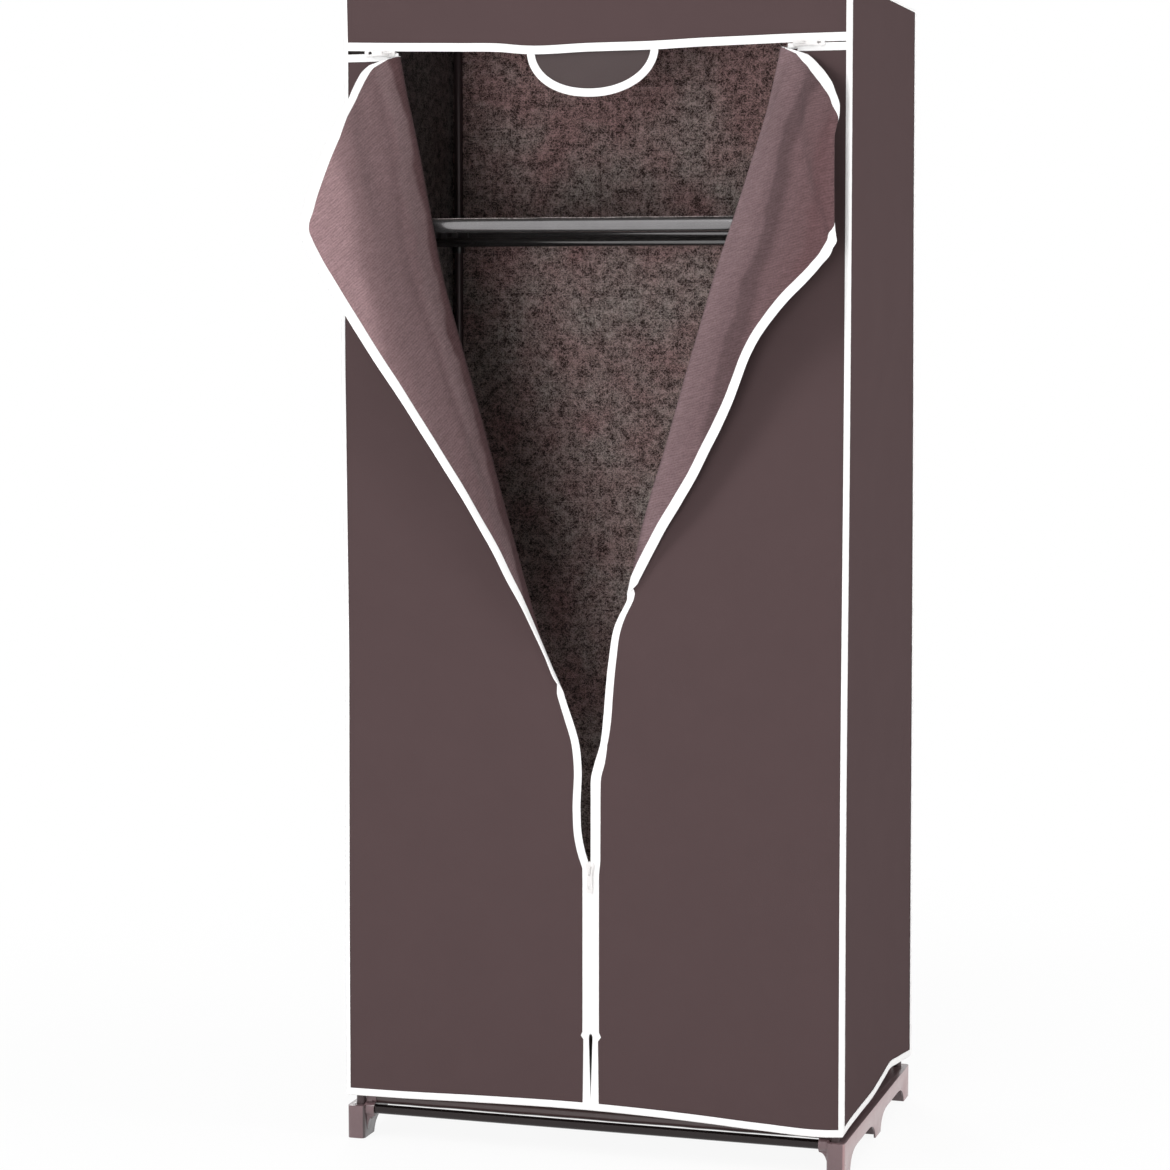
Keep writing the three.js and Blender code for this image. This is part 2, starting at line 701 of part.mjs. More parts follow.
function pathRuns(path) {
  const runs = [0];
  for (let index = 1; index < path.length; index += 1) {
    const step = Math.hypot(path[index][0] - path[index - 1][0], path[index][1] - path[index - 1][1]);
    runs.push(runs[index - 1] + step);
  }
  return runs;
}

function pathAt(path, runs, run) {
  let index = 1;
  while (index < runs.length - 1 && runs[index] < run) index += 1;
  const share = (run - runs[index - 1]) / Math.max(runs[index] - runs[index - 1], mergeStep);
  return path[index].map((value, axis) => path[index - 1][axis] + (value - path[index - 1][axis]) * share);
}

// The rows of the free edge, with more of them where it curls
function edgeRows(flap) {
  const rows = [];
  flap.edgeShares.forEach((row, index) => {
    const before = flap.edgeShares[Math.max(index - 1, 0)];
    const curls = before[0] < flap.curlToShare && row[0] > flap.curlFromShare;
    const count = curls ? curlRows : 1;
    for (let step = 1; step <= count; step += 1) {
      rows.push(row.map((value, axis) => before[axis] + (value - before[axis]) * (step / count)));
    }
  });
  return rows;
}

function flapSections(flap) {
  const length = Math.hypot(flap.foldTop[0] - flap.foldFoot[0], flap.foldTop[1] - flap.foldFoot[1]);
  const curlSpan = Math.max(flap.curlToShare - flap.curlFromShare, mergeStep);
  const sections = edgeRows(flap).map(([down, out, forward]) => {
    const share = THREE.MathUtils.clamp((down - flap.curlFromShare) / curlSpan, 0, 1);
    const curl = flap.curlLength * (1 - Math.abs(share + share - 1));
    const path = sectionPath(flap.reach * out, flap.forward * forward, curl);
    const runs = pathRuns(path);
    return { along: length * down, path, runs, curl, total: runs[runs.length - 1] };
  });
  sections.forEach((section, index) => {
    const before = sections[Math.max(index - 1, 0)];
    const after = sections[Math.min(index + 1, sections.length - 1)];
    const slope = (after.total - before.total) / (after.along - before.along);
    const wanted = flapTape * Math.hypot(1, slope);
    section.tapeWidth = Math.min(wanted, section.total * tapeMostShare);
  });
  return sections;
}

function flapPoint(flap, along, [out, forward, lean], offset) {
  const [topX, topZ] = flap.foldTop;
  const [footX, footZ] = flap.foldFoot;
  const length = Math.hypot(footX - topX, footZ - topZ);
  const downX = (footX - topX) / length;
  const downZ = (footZ - topZ) / length;
  const aside = flap.side * -downZ;
  const outX = aside;
  const outZ = flap.side * downX;
  const o = out - offset * Math.sin(lean);
  const f = forward + offset * Math.cos(lean);
  return [topX + downX * along + outX * o, faceY - f, topZ + downZ * along + outZ * o];
}

// A closed sheet from two grids of points: its front, its back and the four edges
function sheetSolid(front, back, flip) {
  const rows = front.length;
  const columns = front[0].length;
  const positions = [...front.flat(), ...back.flat()].flat();
  const at = (layer, row, column) => layer * rows * columns + row * columns + column;
  const index = [];
  const quad = (a, b, c, d) => (flip ? index.push(a, c, b, a, d, c) : index.push(a, b, c, a, c, d));
  for (let row = 0; row < rows - 1; row += 1) {
    for (let column = 0; column < columns - 1; column += 1) {
      quad(at(0, row, column), at(0, row + 1, column), at(0, row + 1, column + 1), at(0, row, column + 1));
      quad(at(1, row, column), at(1, row, column + 1), at(1, row + 1, column + 1), at(1, row + 1, column));
    }
    const last = columns - 1;
    quad(at(0, row, 0), at(1, row, 0), at(1, row + 1, 0), at(0, row + 1, 0));
    quad(at(0, row, last), at(0, row + 1, last), at(1, row + 1, last), at(1, row, last));
  }
  for (let column = 0; column < columns - 1; column += 1) {
    const last = rows - 1;
    quad(at(0, 0, column), at(0, 0, column + 1), at(1, 0, column + 1), at(1, 0, column));
    quad(at(0, last, column), at(1, last, column), at(1, last, column + 1), at(0, last, column + 1));
  }
  const geometry = new THREE.BufferGeometry();
  geometry.setAttribute('position', new THREE.Float32BufferAttribute(positions, 3));
  geometry.setIndex(index);
  return geometry;
}

function flapSheet(flap, thickness, bed, columnsOf) {
  const grid = (offset) => flapSections(flap).map((section) => columnsOf(section).map((run) => {
    const sunk = bed * Math.max(1 - run / section.runs[bendSteps], 0);
    return flapPoint(flap, section.along, pathAt(section.path, section.runs, run), offset + sunk);
  }));
  return sheetSolid(grid(thickness * halfShare), grid(-thickness * halfShare), flap.side < 0);
}

function evenRuns(from, to, steps) {
  return Array.from({ length: steps }, (unused, step) => from + (to - from) * ((step + 1) / steps));
}

// Columns of the cloth: round the bend, across the panel, and round the curl if there is one
function clothRuns(flap, section) {
  const end = section.total - section.tapeWidth - flapTapeGap;
  const bendEnd = Math.min(section.runs[bendSteps], end * halfShare);
  const bend = [0, ...evenRuns(0, bendEnd, bendSteps)];
  if (flap.curlLength === 0) return [...bend, ...evenRuns(bendEnd, end, panelSteps)];
  const lead = Math.min(section.curl + curlLead, (end - bendEnd) * halfShare);
  return [...bend, ...evenRuns(bendEnd, end - lead, panelSteps), ...evenRuns(end - lead, end, curlSteps)];
}

function flapCloth(flap) {
  return flapSheet(flap, cloth, bedding, (section) => clothRuns(flap, section));
}

function flapBinding(flap) {
  return flapSheet(flap, flapTapeThickness, 0, (section) => {
    const from = section.total - section.tapeWidth;
    return [from, ...evenRuns(from, section.total, tapeSteps)];
  });
}

// Zips: a tape with teeth on the edge that faces the slit

function toothedStrip(from, to, rootEdge, toothEdge, teethTo) {
  const points = [[from, toothEdge]];
  const count = Math.floor((to - from) / toothPitch);
  for (let tooth = 0; tooth < count; tooth += 1) {
    const start = from + tooth * toothPitch;
    const end = start + toothPitch * toothShare;
    points.push([start, teethTo], [end, teethTo], [end, toothEdge], [start + toothPitch, toothEdge]);
  }
  points.push([to, toothEdge], [to, rootEdge], [from, rootEdge]);
  return points.slice(1);
}

function centreZip(side) {
  const tooth = side * slitHalf;
  const strip = toothedStrip(zipStop, zipTop, side * (slitHalf + zipTapeWidth), tooth + side * toothDepth, tooth);
  const shape = outline(strip.map(([z, x]) => [x, z]));
  return prismXZ(shape, frontIn + clearance, frontIn + clearance + cloth);
}

function topZip(side) {
  const tooth = headerTapeLow;
  const from = tabHalfWidth + clearance + cloth;
  const to = width * halfShare - cornerTape;
  const strip = toothedStrip(from, to, tooth + toothDepth + zipTapeWidth, tooth + toothDepth, tooth);
  const shape = outline(strip.map(([x, z]) => [side * x, z]));
  return prismXZ(shape, frontIn + clearance, frontIn + clearance + cloth);
}

// Slider about its own middle: two plates, the web between them and the bridge for the pull.
// Local Z runs along the zip with the wide end up, local -Y faces the front.

const plateFront = tapeFront - clearance - sliderPlate;
const pivotY = plateFront - bridgeOpening * halfShare;

function sliderOutline() {
  return outline([
    [-sliderHalfNarrow, -sliderHalfLength], [sliderHalfNarrow, -sliderHalfLength],
    [sliderHalfWide, sliderWebLow], [sliderHalfWide, sliderWebHigh],
    [sliderHalfNarrow, sliderHalfLength], [-sliderHalfNarrow, sliderHalfLength],
    [-sliderHalfWide, sliderWebHigh], [-sliderHalfWide, sliderWebLow],
  ]);
}

function sliderBody() {
  const backIn = frontIn + clearance + cloth + clearance;
  const bridgeTop = plateFront - bridgeOpening - bridgeBar;
  const webHalf = sliderWeb * halfShare;
  const inner = bridgeHalf - bridgeBar;
  const body = joined([
    prismXZ(sliderOutline(), plateFront, plateFront + sliderPlate),
    prismXZ(sliderOutline(), backIn, backIn + sliderBack),
    block(-webHalf, webHalf, plateFront + webHalf, backIn + webHalf, sliderWebLow, sliderWebHigh),
    block(-bridgeHalfWidth, bridgeHalfWidth, bridgeTop, plateFront + webHalf, -bridgeHalf, bridgeHalf),
  ]);
  const opening = block(-sliderHalfWide, sliderHalfWide, plateFront - bridgeOpening, plateFront, -inner, inner);
  return geometryOf(body.subtract(solidOf(opening)).translate([0, -pivotY, 0]));
}

function roundHole(x, z, radius) {
  return Array.from({ length: pullHoleSides }, (unused, side) => {
    const angle = 2 * Math.PI * (side / pullHoleSides);
    return new THREE.Vector2(x + radius * Math.cos(angle), z + radius * Math.sin(angle));
  });
}

function pullTab() {
  const half = pullThick * halfShare;
  const shape = outline([
    [-pullHalfTop, half], [pullHalfTop, half], [pullHalfTop, -pullSlot - pullHalfTop],
    [pullHalfFoot, -pullLength + pullHalfFoot], [pullHalfTop, -pullLength],
    [-pullHalfTop, -pullLength], [-pullHalfFoot, -pullLength + pullHalfFoot],
    [-pullHalfTop, -pullSlot - pullHalfTop],
  ]);
  const slot = new THREE.Path([
    [-pullSlotHalf, -half], [-pullSlotHalf, -pullSlot], [pullSlotHalf, -pullSlot], [pullSlotHalf, -half],
  ].map(([x, z]) => new THREE.Vector2(x, z)));
  const eye = new THREE.Path(roundHole(0, -pullLength * pullHoleShare, pullHoleRadius));
  shape.holes.push(slot, eye);
  return prismXZ(shape, -half, half);
}

function addZips(group) {
  const slitZ = (headerTapeLow + doorTopHigh) * halfShare;
  for (const [name, side] of [['left', -1], ['right', 1]]) {
    group.add(piece(`zip_tape_${name}`, centreZip(side), looks.zip));
    group.add(piece(`zip_top_${name}`, topZip(side), looks.zip));
  }
  const places = {
    centre: { at: [0, pivotY, zipTop + sliderRise], turn: 0 },
    left: { at: [-sideSliderX, pivotY, slitZ], turn: Math.PI * halfShare },
    right: { at: [sideSliderX, pivotY, slitZ], turn: -Math.PI * halfShare },
  };
  for (const [name, { at, turn }] of Object.entries(places)) {
    const slider = piece(`slider_${name}`, sliderBody(), looks.slider, at);
    const pull = piece(`pull_${name}`, pullTab(), looks.slider, at);
    slider.rotation.y = turn;
    pull.rotation.y = turn;
    group.add(slider, pull);
  }
}

function addCover(group) {
  const halfX = width * halfShare;
  const halfY = depth * halfShare;
  const inX = halfX - cloth;
  const sideY = halfY - cloth - clearance;
  const under = height - cloth - clearance;
  const panels = {
    cover_top: block(-halfX, halfX, -halfY, halfY, height - cloth, height),
    cover_back: block(-halfX, halfX, halfY - cloth, halfY, hemZ, under),
    cover_left: block(-halfX, -inX, -sideY, sideY, hemZ, under),
    cover_right: block(inX, halfX, -sideY, sideY, hemZ, under),
    cover_header: block(-halfX, halfX, faceY, frontIn, headerLow, under),
  };
  for (const [name, geometry] of Object.entries(panels)) group.add(piece(name, geometry, looks.fabric));
  group.add(piece('header_tab', headerTab(), looks.mesh_tab));
  group.add(piece('cover_binding', coverCage(), looks.binding));
  group.add(piece('header_binding', headerBinding(), looks.binding));
  group.add(piece('shelf_sheet', shelfSheet(), looks.fabric, [0, 0, shelfZ]));
  group.add(piece('base_sheet', baseSheet(), looks.fabric, [0, 0, sheetTubeZ]));
  for (const [name, flap] of Object.entries(flaps)) {
    group.add(piece(`door_${name}`, doorPanel(flap), looks.fabric));
    group.add(piece(`door_binding_${name}`, doorBinding(flap), looks.binding));
    group.add(piece(`flap_${name}`, flapCloth(flap), looks.lining));
    group.add(piece(`flap_binding_${name}`, flapBinding(flap), looks.binding));
  }
}

const wardrobe = new THREE.Group();
wardrobe.position.set(0, middleShift, 0);
const frameGroup = new THREE.Group();
const coverGroup = new THREE.Group();
addFrame(frameGroup);
addCover(coverGroup);
addZips(coverGroup);
wardrobe.add(frameGroup, coverGroup);

export default wardrobe;
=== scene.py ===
# Portable fabric wardrobe: cloth, tape, tubes, moulded plastic and zips, worked out round the fixed frame.
# Metres, +Z up, the front faces -Y.
import math
import bmesh
import bpy
import numpy as np
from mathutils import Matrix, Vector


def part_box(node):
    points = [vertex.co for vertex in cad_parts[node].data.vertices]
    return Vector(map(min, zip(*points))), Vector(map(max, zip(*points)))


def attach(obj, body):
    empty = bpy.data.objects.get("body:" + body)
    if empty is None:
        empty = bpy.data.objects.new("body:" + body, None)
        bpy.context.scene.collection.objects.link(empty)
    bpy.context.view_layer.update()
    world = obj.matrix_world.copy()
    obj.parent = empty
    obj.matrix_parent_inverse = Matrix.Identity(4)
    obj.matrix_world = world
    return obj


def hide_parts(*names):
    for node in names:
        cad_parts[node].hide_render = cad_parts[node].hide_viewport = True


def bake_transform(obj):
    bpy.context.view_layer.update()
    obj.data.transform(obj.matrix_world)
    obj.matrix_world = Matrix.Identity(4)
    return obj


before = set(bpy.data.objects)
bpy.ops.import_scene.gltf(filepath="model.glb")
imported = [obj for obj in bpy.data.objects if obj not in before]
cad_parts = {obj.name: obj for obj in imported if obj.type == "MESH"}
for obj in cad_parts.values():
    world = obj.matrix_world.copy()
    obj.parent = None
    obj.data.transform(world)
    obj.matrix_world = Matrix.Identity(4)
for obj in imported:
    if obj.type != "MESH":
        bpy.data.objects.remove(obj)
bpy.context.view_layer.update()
print("frame loaded:", len(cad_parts), "nodes")

mm = 0.001
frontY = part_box("cover_header")[0].y   # outer face of the front cloth
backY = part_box("cover_back")[1].y
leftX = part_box("cover_top")[0].x
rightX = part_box("cover_top")[1].x
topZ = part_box("cover_top")[1].z
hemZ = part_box("cover_back")[0].z
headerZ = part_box("cover_header")[0].z   # lower edge of the header's cloth
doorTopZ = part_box("door_left")[1].z
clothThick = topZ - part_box("cover_top")[0].z


def vec(x, y, z):   # a point or direction as an array
    return np.array([x, y, z], float)


# Smooth step: 3t^2 - 2t^3 between 0 and 1.
def easeIn(t):
    t = np.clip(t, 0, 1)
    return t * t * (3 - 2 * t)


# Cubic through the values, with the slope at each knot taken from its two neighbours.
def hermite(knots, values, at):
    knots, values = np.asarray(knots, float), np.asarray(values, float)
    slopes = np.gradient(values, knots, axis=0)
    at = np.clip(np.asarray(at, float), knots[0], knots[-1])
    cell = np.clip(np.searchsorted(knots, at, side="right") - 1, 0, len(knots) - 2)
    wide = knots[cell + 1] - knots[cell]
    t = (at - knots[cell]) / wide
    if values.ndim > 1:
        t, wide = t[:, None], wide[:, None]
    first = (1 + 2 * t) * (1 - t) ** 2 * values[cell] + t * (1 - t) ** 2 * wide * slopes[cell]
    return first + t * t * (3 - 2 * t) * values[cell + 1] + t * t * (t - 1) * wide * slopes[cell + 1]


# Points spaced evenly along a smooth curve through the given ones.
def evenCurve(points, count):
    points = np.asarray(points, float)
    reach = np.concatenate([[0], np.cumsum(np.linalg.norm(np.diff(points, axis=0), axis=1))])
    return hermite(reach, points, np.linspace(0, reach[-1], count))


# Sum of slow sine waves over a surface, each in its own direction, from about -1 to 1.
def softWaves(a, b, seed, longest=0.5, shortest=0.12, count=5):
    rng = np.random.default_rng(seed)
    total, weight = 0, 0
    for step in range(count):
        length = longest * (shortest / longest) ** (step / (count - 1))
        turn, shift = rng.uniform(0, math.pi), rng.uniform(0, math.tau)
        share = length / longest
        total = total + share * np.sin(math.tau * (a * math.cos(turn) + b * math.sin(turn)) / length + shift)
        weight += share
    return total / weight


# Length along each row of points from its first one.
def runsOf(path):
    steps = np.linalg.norm(np.diff(path, axis=1), axis=2)
    return np.concatenate([np.zeros((len(path), 1)), np.cumsum(steps, axis=1)], axis=1)


# The rows' points at the wanted lengths, read between the known ones.
def alongRows(path, runs, wanted):
    parts = [[np.interp(w, r, p[:, k]) for k in range(path.shape[2])] for p, r, w in zip(path, runs, wanted)]
    return np.array(parts).transpose(0, 2, 1)


# Four corners of each cell of a grid of vertex numbers.
def gridQuads(index):
    cells = [index[:-1, :-1], index[1:, :-1], index[1:, 1:], index[:-1, 1:]]
    return np.stack(cells, axis=-1).reshape(-1, 4)


# A mesh object from vertices, lists of equal-sided faces and one uv per vertex, faces turned outwards.
def makePiece(name, verts, faces, uv, materials, materialIndex=None, sharp=38):
    corners = np.concatenate([part.ravel() for part in faces]).astype(np.int32)
    sides = np.concatenate([np.full(len(part), part.shape[1]) for part in faces])
    starts = np.concatenate([[0], np.cumsum(sides)[:-1]]).astype(np.int32)
    mesh = bpy.data.meshes.new(name)
    mesh.vertices.add(len(verts))
    mesh.vertices.foreach_set("co", np.asarray(verts, np.float32).ravel())
    mesh.loops.add(len(corners))
    mesh.loops.foreach_set("vertex_index", corners)
    mesh.polygons.add(len(sides))
    mesh.polygons.foreach_set("loop_start", starts)
    mesh.update(calc_edges=True)
    mesh.uv_layers.new(name="UVMap").data.foreach_set("uv", np.asarray(uv, np.float32)[corners].ravel())
    for material in materials:
        mesh.materials.append(material)
    if materialIndex is not None:
        mesh.polygons.foreach_set("material_index", np.asarray(materialIndex, np.int32))
    work = bmesh.new()
    work.from_mesh(mesh)
    bmesh.ops.recalc_face_normals(work, faces=work.faces)
    work.to_mesh(mesh)
    work.free()
    mesh.polygons.foreach_set("use_smooth", np.ones(len(mesh.polygons), bool))
    mesh.set_sharp_from_angle(angle=math.radians(sharp))
    mesh.validate()
    piece = bpy.data.objects.new(name, mesh)
    bpy.context.scene.collection.objects.link(piece)
    return piece


# Closed cloth: a middle surface moved half a thickness each way, and a rim along its open edges.
def makeSheet(name, middle, inward, quads, uv, outside, inside, thick=clothThick):
    outer, inner = middle - inward * thick / 2, middle + inward * thick / 2
    count = len(middle)
    starts, ends = quads.ravel(), np.roll(quads, -1, axis=1).ravel()
    lone = ~np.isin(starts * count + ends, ends * count + starts)
    rim = np.stack([ends[lone], starts[lone], starts[lone] + count, ends[lone] + count], axis=1)
    faces = [np.concatenate([quads, quads[:, ::-1] + count, rim])]
    materialIndex = np.concatenate([np.zeros(len(quads)), np.ones(len(quads)), np.zeros(len(rim))])
    verts, uvs = np.concatenate([outer, inner]), np.concatenate([uv, uv])
    return makePiece(name, verts, faces, uvs, [outside, inside], materialIndex)


# Outline of a folded band: its middle line moved half a thickness each way, with rounded ends.
# Returns the outline and how far along the band each of its points lies.
def bandSection(line, thick):
    line = np.asarray(line, float)
    reach = np.concatenate([[0], np.cumsum(np.linalg.norm(np.diff(line, axis=0), axis=1))])
    way = np.gradient(line, reach, axis=0)
    way /= np.linalg.norm(way, axis=1, keepdims=True)
    side = np.stack([-way[:, 1], way[:, 0]], axis=1)
    half = thick / 2
    turns = np.radians([-60, -30, 0, 30, 60])

    def cap(at, forth):   # points round one end
        return np.array([line[at] + half * (math.cos(t) * forth + math.sin(t) * side[at]) for t in turns])

    parts = [line - side * half, cap(-1, way[-1]), (line + side * half)[::-1], cap(0, -way[0])[::-1]]
    spread = [reach, np.full(len(turns), reach[-1]), reach[::-1], np.zeros(len(turns))]
    return np.concatenate(parts), np.concatenate(spread)


# A closed skin through rings of points: quads between neighbours and a flat cap on each end.
def sweptPart(rings, along, across, closed=False):
    count, sides = rings.shape[:2]
    index = np.arange(count * sides).reshape(count, sides)
    wrapped = np.concatenate([index, index[:, :1]], axis=1)
    if closed:
        faces = [gridQuads(np.concatenate([wrapped, wrapped[:1]]))]
    else:
        faces = [gridQuads(wrapped), index[:1, ::-1], index[-1:]]
    uv = np.stack([np.repeat(along, sides), np.tile(across, count)], axis=1)
    return rings.reshape(-1, 3), faces, uv


puckerWaves = {"longest": 0.03, "shortest": 0.009, "count": 4}   # metres along a tape


def flatSection(wide, thick, steps, start=0.0):   # a flat band's outline, wide from its start
    return bandSection([(start + wide * step / steps, 0) for step in range(steps + 1)], thick)


# A band carried along a path. At each point its section lies in the two given directions.
# A slow random swell of the section stands for the sewn tape's pucker.
def ribbonPart(path, wide, up, section, spread, pucker=0.0, seed=1):
    path, wide, up = (np.asarray(x, float) for x in (path, wide, up))
    reach = np.concatenate([[0], np.cumsum(np.linalg.norm(np.diff(path, axis=0), axis=1))])
    swell = 1 + pucker * softWaves(reach, reach * 0, seed, **puckerWaves)
    first, second = section[:, 0] * np.ones((len(path), 1)), section[:, 1] * swell[:, None]
    rings = path[:, None] + wide[:, None] * first[..., None] + up[:, None] * second[..., None]
    return sweptPart(rings, reach, spread)


# One piece from several closed parts.
def joinParts(name, parts, materials, sharp=38):
    verts, faces, uvs, start = [], {}, [], 0
    for points, partFaces, uv in parts:
        for group in partFaces:
            faces.setdefault(group.shape[1], []).append(group + start)
        verts.append(points)
        uvs.append(uv)
        start += len(points)
    grouped = [np.concatenate(groups) for groups in faces.values()]
    return makePiece(name, np.concatenate(verts), grouped, np.concatenate(uvs), materials, None, sharp)


# A node of the given kind, with its settings.
def node(tree, kind, **settings):
    made = tree.nodes.new(kind)
    for key, value in settings.items():
        setattr(made, key, value)
    return made


def feed(tree, source, target):   # link from an output to an input
    tree.links.new(source, target)


# A number or colour is set on the socket, and an output is linked to it.
def fill(tree, socket, value):
    if isinstance(value, tuple):
        socket.default_value = (*value, 1)
    elif isinstance(value, (int, float)):
        socket.default_value = value
    else:
        feed(tree, value, socket)


# Math node: first, second and third are numbers or outputs.
def calc(tree, operation, first, second=None, third=None, clamp=False):
    made = node(tree, "ShaderNodeMath", operation=operation, use_clamp=clamp)
    for slot, value in enumerate((first, second, third)):
        if value is not None:
            fill(tree, made.inputs[slot], value)
    return made.outputs[0]


# (value - middle) * gain, plus a rest where one is given.
def spreadOut(tree, value, middle, gain, rest=None, clamp=False):
    away = calc(tree, "SUBTRACT", value, middle)
    return calc(tree, "MULTIPLY" if rest is None else "MULTIPLY_ADD", away, gain, rest, clamp)


# first * (1 - share) + second * share
def blendColour(tree, share, first, second):
    made = node(tree, "ShaderNodeMix", data_type="RGBA")
    for socket, value in ((made.inputs["Factor"], share), (made.inputs[6], first), (made.inputs[7], second)):
        fill(tree, socket, value)
    return made.outputs[2]


def scaledColour(tree, colour, gain):   # colour * gain
    made = node(tree, "ShaderNodeVectorMath", operation="SCALE")
    feed(tree, colour, made.inputs[0])
    fill(tree, made.inputs["Scale"], gain)
    return made.outputs[0]


def splitOf(tree, vector):   # the three parts of a vector
    made = node(tree, "ShaderNodeSeparateXYZ")
    feed(tree, vector, made.inputs[0])
    return made.outputs


# Noise, or the distance to the nearest cell's middle, at a scale.
def noiseOf(tree, vector, scale, detail=3.0, rough=0.6, kind="ShaderNodeTexNoise"):
    made = node(tree, kind)
    if kind == "ShaderNodeTexNoise":
        made.inputs["Detail"].default_value = detail
        made.inputs["Roughness"].default_value = rough
    feed(tree, vector, made.inputs["Vector"])
    fill(tree, made.inputs["Scale"], scale)
    return made.outputs[0]


# A node group with the named sockets. Groups put out only colours, masks, values and normals.
def effectGroup(name, inputs, outputs):
    tree = bpy.data.node_groups.new(name, "ShaderNodeTree")
    for label, kind, value in inputs:
        socket = tree.interface.new_socket(name=label, in_out="INPUT", socket_type=kind)
        if value is not None:
            socket.default_value = value
    for label, kind in outputs:
        tree.interface.new_socket(name=label, in_out="OUTPUT", socket_type=kind)
    return tree, node(tree, "NodeGroupInput"), node(tree, "NodeGroupOutput")


grainPattern = {"cells": 0.55, "clouds": 0.012, "tone": (0.6, 0.4), "height": (0.6, 0.5)}


# Bonded fibre grain: fine noise, cells at a share of its scale, and slow cloudy tone.
# Tone = clouds * 0.6 + fine * 0.4, height = fine * 0.6 + cells * 0.5.
def grainGroup():
    look = grainPattern
    tree, given, out = effectGroup("fibreGrain",
                                   [("Vector", "NodeSocketVector", None),
                                    ("Scale", "NodeSocketFloat", 900.0)],
                                   [("Tone", "NodeSocketFloat"), ("Height", "NodeSocketFloat")])
    vector, scale = given.outputs["Vector"], given.outputs["Scale"]
    fine = noiseOf(tree, vector, scale)
    cells = noiseOf(tree, vector, calc(tree, "MULTIPLY", scale, look["cells"]), kind="ShaderNodeTexVoronoi")
    clouds = noiseOf(tree, vector, calc(tree, "MULTIPLY", scale, look["clouds"]), 2.0)
    for name, (first, second) in (("Tone", (clouds, fine)), ("Height", (fine, cells))):
        shares = look[name.lower()]
        feed(tree, calc(tree, "ADD", calc(tree, "MULTIPLY", first, shares[0]),
                        calc(tree, "MULTIPLY", second, shares[1])), out.inputs[name])
    return tree


twillPattern = {"drift": (70.0, 1.5), "streak": (260.0, 45.0)}   # streak: how fine across and along the slant


# Slanted weave lines: a sine across the slant, bent by noise, and longer soft streaks beside them.
# Across = y cos(slant) - x sin(slant), along = x cos(slant) + y sin(slant),
# line = half of 1 + sin(tau * (across / pitch + drift)).
def twillGroup():
    look = twillPattern
    tree, given, out = effectGroup("twillLines",
                                   [("Vector", "NodeSocketVector", None),
                                    ("Pitch", "NodeSocketFloat", 0.0016), ("Slant", "NodeSocketFloat", 50.0)],
                                   [("Line", "NodeSocketFloat"), ("Streak", "NodeSocketFloat")])
    at = splitOf(tree, given.outputs["Vector"])
    slant = calc(tree, "RADIANS", given.outputs["Slant"])
    across = calc(tree, "SUBTRACT", calc(tree, "MULTIPLY", at["Y"], calc(tree, "COSINE", slant)),
                  calc(tree, "MULTIPLY", at["X"], calc(tree, "SINE", slant)))
    along = calc(tree, "ADD", calc(tree, "MULTIPLY", at["X"], calc(tree, "COSINE", slant)),
                 calc(tree, "MULTIPLY", at["Y"], calc(tree, "SINE", slant)))
    drift = calc(tree, "MULTIPLY", noiseOf(tree, given.outputs["Vector"], look["drift"][0], 2.0),
                 look["drift"][1])
    turns = calc(tree, "ADD", calc(tree, "DIVIDE", across, given.outputs["Pitch"]), drift)
    wave = calc(tree, "SINE", calc(tree, "MULTIPLY", turns, math.tau))
    feed(tree, calc(tree, "MULTIPLY_ADD", wave, 0.5, 0.5), out.inputs["Line"])
    stretched = node(tree, "ShaderNodeCombineXYZ")
    feed(tree, calc(tree, "MULTIPLY", across, look["streak"][0]), stretched.inputs["X"])
    feed(tree, calc(tree, "MULTIPLY", along, look["streak"][1]), stretched.inputs["Y"])
    feed(tree, noiseOf(tree, stretched.outputs[0], 1.0, 2.0, 0.5), out.inputs["Streak"])
    return tree


feltPattern = {"coarse": 0.45, "fine": 3.4, "patch": 0.07,   # scales, as shares of the group's own
               "curls": (1.0, 1.9), "curlEdge": 11.0, "second": 0.7, "broken": (1.6, -0.25),
               "ground": (2.4, 0.14), "grit": 1.1, "curl": 1.15, "patches": 3.0}


